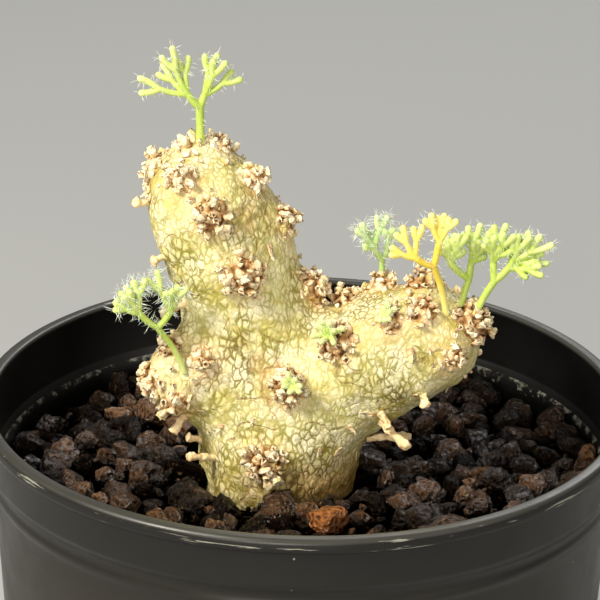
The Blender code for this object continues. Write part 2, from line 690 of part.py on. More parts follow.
def build():
    """Builds every piece of the potted plant."""
    clear_scene()
    make_pot()
    caudex = make_caudex()
    lines = limb_lines()
    tree = BVHTree.FromPolygons(
        [vert.co for vert in caudex.data.vertices],
        [face.vertices for face in caudex.data.polygons],
    )
    cork = finish("corky_leaf_bases", CORK, 0.85)
    dry = finish("dry_stalk", DRY, 0.8)
    seats = {}
    spurs = {}
    for name, (limb, share, bearing, tilt, radius) in SPURS.items():
        place, outward = seat_on(tree, lines[limb], share, bearing, tilt)
        spurs[name] = make_spur(name, place, outward, radius * MM, cork)
        seats[name] = (place, outward)
        clear_of(spurs[name], [caudex] + [spur for other, spur in spurs.items() if other != name])
    pegs = {}
    for name, (limb, share, bearing, tilt, reach) in PEGS.items():
        place, outward = seat_on(tree, lines[limb], share, bearing, tilt)
        pegs[name] = make_peg(name, place, outward, reach, dry)
        clear_of(pegs[name], [caudex, *spurs.values()])
    greens = {
        "leaf_yellow": finish("yellowing_leaf", LEAF_YELLOW, 0.6),
        "leaf_low_inner": finish("hairy_blue_green_leaf", LEAF_BLUE_GREEN, 0.65),
    }
    green = finish("green_leaf", LEAF_GREEN, 0.6)
    leaves = {}
    for name, (spur, offset, stalk, side_lobes, *arms) in LEAVES.items():
        place, outward = seats[spur]
        foot = place + outward * SPURS[spur][4] * MM * LEAF_SEAT + Vector(offset) * MM
        leaves[name] = make_leaf(name, foot, outward, stalk, side_lobes, arms, greens.get(name, green))
        clear_of(leaves[name], [caudex, *spurs.values()])
    fresh = finish("new_leaf", SPROUT_GREEN, 0.6)
    sprouts = {}
    for name, (spur, *tips) in SPROUTS.items():
        place, outward = seats[spur]
        rise = SPURS[spur][4] * MM * (SPUR_HEIGHT + SPUR_LIFT) + SPROUT_LIFT
        sprouts[name] = make_sprout(name, place + outward * rise, outward, tips, fresh)
        clear_of(sprouts[name], [caudex, *spurs.values()])
    grey_stone = finish("loose_stone", GRIT, 0.9)
    orange_stone = finish("orange_stone", ORANGE_GRIT, 0.9)
    stones = []
    for name, (x, y, size, turn) in STONES.items():
        material = orange_stone if name == "stone_orange" else grey_stone
        stones.append(make_stone(name, x, y, size, turn, material))
    bed = make_grit_bed([caudex, *stones, *spurs.values(), *pegs.values()])
    plant = [caudex, *spurs.values(), *pegs.values(), *leaves.values(), *sprouts.values()]
    stand_in_pot([bed, *stones, *plant])


if __name__ == "__main__":
    build()
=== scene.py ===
"""Looks of a potted monsonia: bark, corky spurs, finely cut hairy leaves, grit and a plastic pot.

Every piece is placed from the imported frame, in metres, Z up. The plant leans over a bed of loose
stones in a thin-walled pot, and everything rides on the frame's one body.
"""

import json
import logging
import math
from collections.abc import Callable, Sequence
from dataclasses import dataclass, field
from enum import Enum

import bpy
import numpy as np
from bpy.types import Material, Node, NodeSocket, NodeTree, Object
from mathutils import Matrix, Quaternion, Vector, noise
from mathutils.bvhtree import BVHTree

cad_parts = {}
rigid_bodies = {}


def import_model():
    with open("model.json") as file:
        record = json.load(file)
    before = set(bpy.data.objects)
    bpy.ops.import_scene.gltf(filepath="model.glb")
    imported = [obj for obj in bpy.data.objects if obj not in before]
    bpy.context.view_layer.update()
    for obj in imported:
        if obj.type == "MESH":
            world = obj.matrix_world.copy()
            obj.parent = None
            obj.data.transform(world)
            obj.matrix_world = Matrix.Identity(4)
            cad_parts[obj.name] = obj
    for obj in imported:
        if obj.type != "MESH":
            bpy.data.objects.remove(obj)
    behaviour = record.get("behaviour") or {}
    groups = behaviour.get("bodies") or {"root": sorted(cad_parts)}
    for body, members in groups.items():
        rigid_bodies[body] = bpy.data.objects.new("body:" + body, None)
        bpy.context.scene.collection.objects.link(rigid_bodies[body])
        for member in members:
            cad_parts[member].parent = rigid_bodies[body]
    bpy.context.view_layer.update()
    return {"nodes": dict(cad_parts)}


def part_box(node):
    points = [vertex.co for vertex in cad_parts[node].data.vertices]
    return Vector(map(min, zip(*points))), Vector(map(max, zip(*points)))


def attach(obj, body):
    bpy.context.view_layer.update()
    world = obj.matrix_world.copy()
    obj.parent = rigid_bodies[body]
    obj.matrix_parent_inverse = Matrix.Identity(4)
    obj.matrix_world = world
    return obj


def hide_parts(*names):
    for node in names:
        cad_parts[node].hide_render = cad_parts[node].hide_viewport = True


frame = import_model()

MM = 0.001
BODY = "root"
HEX_ROW = 0.866  # Spacing of a hexagonal grid's rows beside its pitch.
GOLDEN_TURN = 2.39996  # Turn in radians that spreads points evenly over a dome.
LOG = logging.getLogger("potted_monsonia")

# Options that many shader nodes share.
SMOOTH = {"interpolation_type": "SMOOTHSTEP"}
BLEND = {"data_type": "RGBA"}
DARKEN = {"data_type": "RGBA", "blend_type": "MULTIPLY"}
PRODUCT = {"operation": "MULTIPLY"}
SCALE_AND_ADD = {"operation": "MULTIPLY_ADD"}
DIFFERENCE = {"operation": "SUBTRACT"}
GREATER = {"operation": "MAXIMUM"}
SUM = {"operation": "ADD"}
SIZE = {"operation": "ABSOLUTE"}
CELL_EDGES = {"feature": "DISTANCE_TO_EDGE"}


def linear(hex_colour: str) -> tuple[float, float, float, float]:
    """Turns an sRGB hex colour into linear RGBA.

    Args:
        hex_colour: Six hex digits, such as "e9dfb0".

    Returns:
        Linear red, green and blue with an alpha of 1.
    """
    parts = [int(hex_colour[start : start + 2], 16) / 255 for start in (0, 2, 4)]
    curve = [part / 12.92 if part <= 0.04045 else ((part + 0.055) / 1.055) ** 2.4 for part in parts]
    return (*curve, 1.0)


def add_node(
    tree: NodeTree,
    kind: str,
    settings: dict[str, object] | None = None,
    inputs: dict[str | int, object] | None = None,
) -> Node:
    """Adds a shader node, sets its options and feeds its sockets.

    Args:
        tree: The material's node tree.
        kind: The node's type name.
        settings: Node options by attribute name.
        inputs: Sockets by name or index, each given a value or another node's output.

    Returns:
        The new node.
    """
    node = tree.nodes.new(kind)
    for option, value in (settings or {}).items():
        setattr(node, option, value)
    for socket, value in (inputs or {}).items():
        if isinstance(value, NodeSocket):
            tree.links.new(value, node.inputs[socket])
        else:
            node.inputs[socket].default_value = value
    return node


def ramp_stops(node: Node, stops: Sequence[tuple[float, str]]) -> None:
    """Gives a colour ramp its stops.

    Args:
        node: A ShaderNodeValToRGB.
        stops: Position and hex colour of each stop, in rising order.
    """
    elements = node.color_ramp.elements
    while len(elements) < len(stops):
        elements.new(1.0)
    for element, (position, colour) in zip(elements, stops):
        element.position = position
        element.color = linear(colour)


def per_metre(size_mm: float) -> float:
    """Texture scale whose pattern repeats about every size_mm."""
    return 1.0 / (size_mm * MM)


@dataclass(frozen=True)
class Finish:
    """A surface finish that is made into a material once and then shared.

    Attributes:
        name: The material's name.
        roughness: Typical roughness of the finish.
        ior: Index of refraction.
    """

    name: str = "finish"
    roughness: float = 0.5
    ior: float = 1.5

    def material(self) -> Material:
        """Builds the finish's material on first use.

        Returns:
            The material, which all pieces of this finish share.
        """
        made = bpy.data.materials.get(self.name)
        if made:
            return made
        made = bpy.data.materials.new(self.name)
        made.use_nodes = True
        shader = made.node_tree.nodes["Principled BSDF"]
        shader.inputs["Roughness"].default_value = self.roughness
        shader.inputs["IOR"].default_value = self.ior
        self.dress(made.node_tree, shader)
        return made

    def dress(self, tree: NodeTree, shader: Node) -> None:
        """Adds the finish's own nodes.

        Args:
            tree: The material's node tree.
            shader: Its Principled BSDF.
        """


@dataclass(frozen=True)
class BarkFinish(Finish):
    """Waxy caudex bark: cream plates parted by a net of olive-green cracks, as grown.

    Attributes:
        plate_mm: Width of the bark's plates.
        fine_plate_mm: Width of the finer net between them.
        sway_mm: How far the net strays from straight lines.
        grit_height: Height of the grit's surface.
        soil_reach: How far above the grit the bark is stained and painted with shade.
        painted_shade_side: X at which the stain starts to deepen into painted shade towards the right,
            and X at which it is full.
    """

    # Wax over live bark: a broad soft sheen on the pale plates, and dull green where they part.
    name: str = "waxy_caudex_bark"
    roughness: float = 0.55
    plate_mm: float = 0.84
    fine_plate_mm: float = 0.45
    sway_mm: float = 1.25
    grit_height: float = 0.0
    soil_reach: float = 8.0 * MM
    painted_shade_side: tuple[float, float] = (-12.0 * MM, 4.0 * MM)

    def swayed_place(self, tree: NodeTree, place: NodeSocket) -> NodeSocket:
        """Bends straight pattern lines into grown ones.

        Args:
            tree: The material's node tree.
            place: Object coordinates.

        Returns:
            The bent coordinates, drawn out along the stem.
        """
        for grain_mm, sway_mm, detail in ((2.6, self.sway_mm, 2.0), (0.7, self.sway_mm * 0.42, 4.0)):
            wander = add_node(
                tree, "ShaderNodeTexNoise", None,
                {"Vector": place, "Scale": per_metre(grain_mm), "Detail": detail},
            )
            centred = add_node(
                tree, "ShaderNodeVectorMath", DIFFERENCE,
                {0: wander.outputs["Color"], 1: (0.5, 0.5, 0.5)},
            )
            place = add_node(
                tree, "ShaderNodeVectorMath", SCALE_AND_ADD,
                {0: centred.outputs["Vector"], 1: (sway_mm * MM,) * 3, 2: place},
            ).outputs["Vector"]
        return add_node(
            tree, "ShaderNodeMapping", None, {"Vector": place, "Scale": (1.0, 1.0, 0.6)}
        ).outputs["Vector"]

    def dress(self, tree: NodeTree, shader: Node) -> None:
        """Adds plates, cracks, broad tints and relief.

        Args:
            tree: The material's node tree.
            shader: Its Principled BSDF.
        """
        place = add_node(tree, "ShaderNodeTexCoord").outputs["Object"]
        swayed = self.swayed_place(tree, place)
        edges, fine_edges = (
            add_node(
                tree, "ShaderNodeTexVoronoi", CELL_EDGES,
                {"Vector": swayed, "Scale": per_metre(width_mm)},
            ).outputs["Distance"]
            for width_mm in (self.plate_mm, self.fine_plate_mm)
        )
        plates = add_node(
            tree, "ShaderNodeTexVoronoi", {"feature": "F1"},
            {"Vector": swayed, "Scale": per_metre(self.plate_mm)},
        ).outputs["Color"]
        patches = add_node(
            tree, "ShaderNodeTexNoise", None,
            {"Vector": place, "Scale": per_metre(4.2), "Detail": 3.0, "Roughness": 0.6},
        ).outputs["Fac"]
        regions = add_node(
            tree, "ShaderNodeTexNoise", None, {"Vector": place, "Scale": per_metre(11.0), "Detail": 3.0}
        ).outputs["Fac"]
        width = add_node(
            tree, "ShaderNodeMapRange", None,
            {"Value": patches, "From Min": 0.36, "From Max": 0.66, "To Min": 0.17, "To Max": 0.42},
        ).outputs["Result"]
        crack = add_node(
            tree, "ShaderNodeMapRange", SMOOTH,
            {"Value": edges, "From Min": 0.0, "From Max": width, "To Min": 1.0, "To Max": 0.0},
        ).outputs["Result"]
        depth = add_node(
            tree, "ShaderNodeMapRange", None,
            {"Value": regions, "From Min": 0.38, "From Max": 0.54, "To Min": 0.7, "To Max": 1.0},
        ).outputs["Result"]
        breaks = add_node(
            tree, "ShaderNodeTexNoise", None,
            {"Vector": swayed, "Scale": per_metre(1.5), "Detail": 3.0, "Roughness": 0.6},
        ).outputs["Fac"]
        broken = add_node(
            tree, "ShaderNodeMapRange", None,
            {"Value": breaks, "From Min": 0.36, "From Max": 0.52, "To Min": 0.45, "To Max": 1.0},
        ).outputs["Result"]
        lines = add_node(tree, "ShaderNodeMath", PRODUCT, {0: crack, 1: broken}).outputs["Value"]
        faded = add_node(tree, "ShaderNodeMath", PRODUCT, {0: lines, 1: depth}).outputs["Value"]
        fine_crack = add_node(
            tree, "ShaderNodeMapRange", SMOOTH,
            {"Value": fine_edges, "From Min": 0.0, "From Max": 0.22, "To Min": 0.3, "To Max": 0.0},
        ).outputs["Result"]
        both = add_node(tree, "ShaderNodeMath", GREATER, {0: faded, 1: fine_crack}).outputs["Value"]
        cream = add_node(tree, "ShaderNodeValToRGB", None, {"Fac": patches})
        ramp_stops(cream, ((0.36, "f9f1ca"), (0.52, "f1e9b2"), (0.62, "e6da92"), (0.72, "cfc466")))
        tinted = add_node(
            tree, "ShaderNodeMix", {"data_type": "RGBA", "blend_type": "SOFT_LIGHT"},
            {0: 0.12, 6: cream.outputs["Color"], 7: plates},
        ).outputs[2]
        deep = add_node(tree, "ShaderNodeValToRGB", None, {"Fac": regions})
        ramp_stops(deep, ((0.38, "aca34c"), (0.52, "8f8834"), (0.64, "766628")))
        colour = add_node(
            tree, "ShaderNodeMix", BLEND, {0: both, 6: tinted, 7: deep.outputs["Color"]}
        ).outputs[2]
        scars = add_node(
            tree, "ShaderNodeTexNoise", None,
            {"Vector": swayed, "Scale": per_metre(5.5), "Detail": 4.0, "Roughness": 0.65},
        ).outputs["Fac"]
        scarred = add_node(
            tree, "ShaderNodeMapRange", SMOOTH,
            {"Value": scars, "From Min": 0.6, "From Max": 0.72, "To Min": 0.0, "To Max": 0.45},
        ).outputs["Result"]
        # The tone attribute holds each spur's brown scar, darkened below the spur as painted shade.
        scar_and_shade = add_node(tree, "ShaderNodeAttribute", {"attribute_name": "tone"}).outputs["Fac"]
        ringed = add_node(tree, "ShaderNodeMath", PRODUCT, {0: scar_and_shade, 1: scars}).outputs["Value"]
        browned = add_node(
            tree, "ShaderNodeMath", {"operation": "MULTIPLY_ADD", "use_clamp": True},
            {0: ringed, 1: 1.15, 2: scarred},
        ).outputs["Value"]
        scarred_and_shaded = add_node(
            tree, "ShaderNodeMix", BLEND, {0: browned, 6: colour, 7: linear("cfaa70")}
        ).outputs[2]
        # Brown fold lines in the bark, their darkness partly painted shade in the creases.
        contour = add_node(tree, "ShaderNodeMath", DIFFERENCE, {0: regions, 1: 0.5}).outputs["Value"]
        folds = add_node(tree, "ShaderNodeMath", SIZE, {0: contour}).outputs["Value"]
        fold = add_node(
            tree, "ShaderNodeMapRange", SMOOTH,
            {"Value": folds, "From Min": 0.002, "From Max": 0.012, "To Min": 0.5, "To Max": 0.0},
        ).outputs["Result"]
        kept = add_node(
            tree, "ShaderNodeMapRange", None,
            {"Value": scars, "From Min": 0.46, "From Max": 0.56, "To Min": 0.0, "To Max": 1.0},
        ).outputs["Result"]
        creased = add_node(
            tree, "ShaderNodeMath", {"operation": "MULTIPLY", "use_clamp": True}, {0: fold, 1: kept}
        ).outputs["Value"]
        folds_and_shade = add_node(
            tree, "ShaderNodeMix", BLEND, {0: creased, 6: scarred_and_shaded, 7: linear("8f5f33")}
        ).outputs[2]
        # Painted shade: the stain near the grit is darker on the right, the side turned from the key
        # lamp.
        parts = add_node(tree, "ShaderNodeSeparateXYZ", None, {0: place})
        shaded_side = add_node(
            tree, "ShaderNodeMapRange", SMOOTH,
            {
                "Value": parts.outputs["X"], "From Min": self.painted_shade_side[0],
                "From Max": self.painted_shade_side[1], "To Min": 0.3, "To Max": 1.0,
            },
        ).outputs["Result"]
        level = add_node(
            tree, "ShaderNodeMapRange", SMOOTH,
            {
                "Value": parts.outputs["Z"], "From Min": self.grit_height - MM,
                "From Max": self.grit_height + self.soil_reach, "To Min": 0.85, "To Max": 0.0,
            },
        ).outputs["Result"]
        stain_and_shade = add_node(tree, "ShaderNodeMath", PRODUCT, {0: level, 1: shaded_side}).outputs["Value"]
        stained_and_shaded = add_node(
            tree, "ShaderNodeMix", DARKEN, {0: stain_and_shade, 6: folds_and_shade, 7: linear("cfa468")}
        ).outputs[2]
        tree.links.new(stained_and_shaded, shader.inputs["Base Color"])
        dome = add_node(
            tree, "ShaderNodeMapRange", SMOOTH,
            {"Value": edges, "From Min": 0.0, "From Max": 0.4, "To Min": 0.0, "To Max": 1.0},
        ).outputs["Result"]
        pores = add_node(
            tree, "ShaderNodeTexNoise", None, {"Vector": place, "Scale": per_metre(0.4), "Detail": 3.0}
        ).outputs["Fac"]
        lifted = add_node(
            tree, "ShaderNodeMath", SCALE_AND_ADD, {0: pores, 1: 0.7, 2: dome}
        ).outputs["Value"]
        cut = add_node(
            tree, "ShaderNodeMath", SCALE_AND_ADD, {0: creased, 1: 2.2, 2: fine_crack}
        ).outputs["Value"]
        sunk = add_node(tree, "ShaderNodeMath", DIFFERENCE, {0: lifted, 1: cut}).outputs["Value"]
        relief = add_node(
            tree, "ShaderNodeBump", None, {"Height": sunk, "Strength": 0.7, "Distance": 0.12 * MM}
        )
        tree.links.new(relief.outputs["Normal"], shader.inputs["Normal"])
        shader.inputs["Subsurface Weight"].default_value = 0.03
        shader.inputs["Subsurface Radius"].default_value = (1.0, 0.7, 0.3)
        shader.inputs["Subsurface Scale"].default_value = 0.4 * MM


@dataclass(frozen=True)
class CorkFinish(Finish):
    """Dry, broken-off leaf bases: dead cork, cream on the rims and brown in the hollows, the brown
    partly painted shade.
    """

    # Torn cork: no gloss at all, pale crumbly edges, and dark hollows painted as shade to give it its
    # depth.
    name: str = "dry_cork"
    roughness: float = 0.85

    def dress(self, tree: NodeTree, shader: Node) -> None:
        """Colours the cork by its tone attribute and roughens it.

        Args:
            tree: The material's node tree.
            shader: Its Principled BSDF.
        """
        place = add_node(tree, "ShaderNodeTexCoord").outputs["Object"]
        # The tone attribute carries painted shade: darker at each leaf base's foot and in its cup.
        depth = add_node(tree, "ShaderNodeAttribute", {"attribute_name": "tone"}).outputs["Fac"]
        mottle = add_node(
            tree, "ShaderNodeTexNoise", None,
            {"Vector": place, "Scale": per_metre(0.9), "Detail": 3.0, "Roughness": 0.65},
        ).outputs["Fac"]
        mixed = add_node(
            tree, "ShaderNodeMath", SCALE_AND_ADD, {0: mottle, 1: 0.7, 2: depth}
        ).outputs["Value"]
        toned = add_node(tree, "ShaderNodeMath", DIFFERENCE, {0: mixed, 1: 0.35}).outputs["Value"]
        ramp = add_node(tree, "ShaderNodeValToRGB", None, {"Fac": toned})
        ramp_stops(
            ramp,
            (
                (0.0, "20130a"), (0.16, "634022"), (0.34, "ad7f4a"),
                (0.52, "d9b684"), (0.72, "efdab0"), (1.0, "fbf2d2"),
            ),
        )
        moss = add_node(
            tree, "ShaderNodeTexNoise", None, {"Vector": place, "Scale": per_metre(2.4), "Detail": 2.0}
        ).outputs["Fac"]
        greened = add_node(
            tree, "ShaderNodeMapRange", SMOOTH,
            {"Value": moss, "From Min": 0.56, "From Max": 0.68, "To Min": 0.0, "To Max": 0.7},
        ).outputs["Result"]
        mossy = add_node(
            tree, "ShaderNodeMix", DARKEN, {0: greened, 6: ramp.outputs["Color"], 7: linear("d2cf7e")}
        ).outputs[2]
        wander = add_node(
            tree, "ShaderNodeTexNoise", None, {"Vector": place, "Scale": per_metre(0.7), "Detail": 2.0}
        ).outputs["Color"]
        bent = add_node(
            tree, "ShaderNodeVectorMath", SCALE_AND_ADD, {0: wander, 1: (0.5 * MM,) * 3, 2: place}
        ).outputs["Vector"]
        # Painted shade: brown darkening in the crevices between the crumbs.
        gaps = add_node(
            tree, "ShaderNodeTexVoronoi", CELL_EDGES, {"Vector": bent, "Scale": per_metre(1.15)}
        ).outputs["Distance"]
        crevice_shade = add_node(
            tree, "ShaderNodeMapRange", SMOOTH,
            {"Value": gaps, "From Min": 0.0, "From Max": 0.11, "To Min": 0.42, "To Max": 0.0},
        ).outputs["Result"]
        colour = add_node(
            tree, "ShaderNodeMix", BLEND, {0: crevice_shade, 6: mossy, 7: linear("94622f")}
        ).outputs[2]
        tree.links.new(colour, shader.inputs["Base Color"])
        crumbs = add_node(tree, "ShaderNodeMath", DIFFERENCE, {0: mottle, 1: crevice_shade}).outputs["Value"]
        relief = add_node(
            tree, "ShaderNodeBump", None, {"Height": crumbs, "Strength": 0.8, "Distance": 0.22 * MM}
        )
        tree.links.new(relief.outputs["Normal"], shader.inputs["Normal"])


@dataclass(frozen=True)
class StalkFinish(Finish):
    """Dead leaf stalks: dried plant fibre."""

    # Dried fibre: matt, blotched from straw to brown like old wood.
    name: str = "dry_stalk_fibre"
    roughness: float = 0.8

    def dress(self, tree: NodeTree, shader: Node) -> None:
        """Mottles the stalk from pale tan to brown.

        Args:
            tree: The material's node tree.
            shader: Its Principled BSDF.
        """
        place = add_node(tree, "ShaderNodeTexCoord").outputs["Object"]
        mottle = add_node(
            tree, "ShaderNodeTexNoise", None,
            {"Vector": place, "Scale": per_metre(1.1), "Detail": 3.0, "Roughness": 0.6},
        ).outputs["Fac"]
        ramp = add_node(tree, "ShaderNodeValToRGB", None, {"Fac": mottle})
        ramp_stops(ramp, ((0.25, "b08448"), (0.45, "e6c894"), (0.7, "f6e6be")))
        tree.links.new(ramp.outputs["Color"], shader.inputs["Base Color"])
        relief = add_node(
            tree, "ShaderNodeBump", None, {"Height": mottle, "Strength": 0.5, "Distance": 0.1 * MM}
        )
        tree.links.new(relief.outputs["Normal"], shader.inputs["Normal"])


@dataclass(frozen=True)
class LeafFinish(Finish):
    """Fleshy living leaf skin, finely cut.

    Attributes:
        seam_shade: Colour of the painted shade in the creases between the lobes.
        base: Colour near the stalk.
        middle: Colour half way out.
        tip: Colour of the lobes' ends.
    """

    # A thin skin over wet flesh: a soft sheen, and light that glows in the lobes.
    name: str = "fresh_leaf_skin"
    roughness: float = 0.42
    seam_shade: str = "93ae42"
    base: str = "b0c956"
    middle: str = "bbd064"
    tip: str = "dae69a"

    def dress(self, tree: NodeTree, shader: Node) -> None:
        """Shades the leaf from its stalk to its tips, with painted shade in the creases between the
        lobes.

        Args:
            tree: The material's node tree.
            shader: Its Principled BSDF.
        """
        place = add_node(tree, "ShaderNodeTexCoord").outputs["Object"]
        reach = add_node(tree, "ShaderNodeAttribute", {"attribute_name": "tone"}).outputs["Fac"]
        mottle = add_node(
            tree, "ShaderNodeTexNoise", None, {"Vector": place, "Scale": per_metre(1.4), "Detail": 2.0}
        ).outputs["Fac"]
        mixed = add_node(
            tree, "ShaderNodeMath", SCALE_AND_ADD, {0: mottle, 1: 0.5, 2: reach}
        ).outputs["Value"]
        toned = add_node(tree, "ShaderNodeMath", DIFFERENCE, {0: mixed, 1: 0.25}).outputs["Value"]
        ramp = add_node(tree, "ShaderNodeValToRGB", None, {"Fac": toned})
        stops = ((0.0, self.seam_shade), (0.16, self.base), (0.5, self.middle), (0.95, self.tip))
        ramp_stops(ramp, stops)
        tree.links.new(ramp.outputs["Color"], shader.inputs["Base Color"])
        relief = add_node(
            tree, "ShaderNodeBump", None, {"Height": mottle, "Strength": 0.3, "Distance": 0.1 * MM}
        )
        tree.links.new(relief.outputs["Normal"], shader.inputs["Normal"])
        shader.inputs["Subsurface Weight"].default_value = 0.35
        shader.inputs["Subsurface Radius"].default_value = (0.7, 1.0, 0.3)
        shader.inputs["Subsurface Scale"].default_value = 0.5 * MM


@dataclass(frozen=True)
class HairFinish(Finish):
    """Glassy white leaf hairs, as grown.

    Attributes:
        colour: The hairs' colour.
    """

    # Clear hollow hairs: white against a dark ground, with a little glow inside.
    name: str = "leaf_hair"
    roughness: float = 0.35
    colour: str = "f2f6ea"

    def dress(self, tree: NodeTree, shader: Node) -> None:
        """Sets the plain hair colour with a little glow.

        Args:
            tree: The material's node tree.
            shader: Its Principled BSDF.
        """
        shader.inputs["Base Color"].default_value = linear(self.colour)
        shader.inputs["Subsurface Weight"].default_value = 0.3
        shader.inputs["Subsurface Scale"].default_value = 0.2 * MM


@dataclass(frozen=True)
class GritFinish(Finish):
    """Crushed volcanic grit: porous and dark brown, a few stones fired redder."""

    # Damp crushed lava: broken faces that glint brown, around pores darkened as painted shade.
    name: str = "volcanic_grit"
    roughness: float = 0.25

    def dress(self, tree: NodeTree, shader: Node) -> None:
        """Colours each stone by its own tone, with painted shade in the pits, and pale flecks that are
        partly dust, partly painted glints.

        Args:
            tree: The material's node tree.
            shader: Its Principled BSDF.
        """
        place = add_node(tree, "ShaderNodeTexCoord").outputs["Object"]
        tone = add_node(tree, "ShaderNodeAttribute", {"attribute_name": "tone"}).outputs["Fac"]
        grain = add_node(
            tree, "ShaderNodeTexNoise", None,
            {"Vector": place, "Scale": per_metre(0.8), "Detail": 5.0, "Roughness": 0.7},
        ).outputs["Fac"]
        pits = add_node(
            tree, "ShaderNodeTexVoronoi", {"feature": "SMOOTH_F1"},
            {"Vector": place, "Scale": per_metre(0.75), "Smoothness": 0.4},
        ).outputs["Distance"]
        base = add_node(tree, "ShaderNodeValToRGB", None, {"Fac": tone})
        ramp_stops(
            base,
            (
                (0.0, "020101"), (0.3, "22150a"), (0.6, "50341b"),
                (0.85, "7b5633"), (0.93, "744b2c"), (1.0, "b06a2e"),
            ),
        )
        dust = add_node(tree, "ShaderNodeValToRGB", None, {"Fac": grain})
        ramp_stops(dust, ((0.3, "5a5048"), (0.55, "ffffff"), (0.75, "ffffff")))
        shade = add_node(
            tree, "ShaderNodeMix", DARKEN, {0: 0.8, 6: base.outputs["Color"], 7: dust.outputs["Color"]}
        ).outputs[2]
        # Pale flecks: partly dust, partly painted glints on the faces.
        fleck_and_glint = add_node(
            tree, "ShaderNodeMapRange", None,
            {"Value": grain, "From Min": 0.58, "From Max": 0.75, "To Min": 0.0, "To Max": 0.42},
        ).outputs["Result"]
        colour = add_node(
            tree, "ShaderNodeMix", BLEND, {0: fleck_and_glint, 6: shade, 7: linear("9c7d58")}
        ).outputs[2]
        # Painted shade: the pits are darkened.
        hollow = add_node(
            tree, "ShaderNodeMapRange", None,
            {"Value": pits, "From Min": 0.15, "From Max": 0.5, "To Min": 0.35, "To Max": 1.0},
        ).outputs["Result"]
        pit_shaded = add_node(tree, "ShaderNodeMix", DARKEN, {0: 0.9, 6: colour, 7: hollow}).outputs[2]
        tree.links.new(pit_shaded, shader.inputs["Base Color"])
        rough = add_node(
            tree, "ShaderNodeMath", SCALE_AND_ADD, {0: pits, 1: 1.2, 2: grain}
        ).outputs["Value"]
        gloss = add_node(
            tree, "ShaderNodeMapRange", None,
            {"Value": tone, "From Min": 0.05, "From Max": 0.45, "To Min": 0.0, "To Max": 0.75},
        ).outputs["Result"]
        tree.links.new(gloss, shader.inputs["Specular IOR Level"])
        relief = add_node(
            tree, "ShaderNodeBump", None, {"Height": rough, "Strength": 1.0, "Distance": 0.85 * MM}
        )
        tree.links.new(relief.outputs["Normal"], shader.inputs["Normal"])


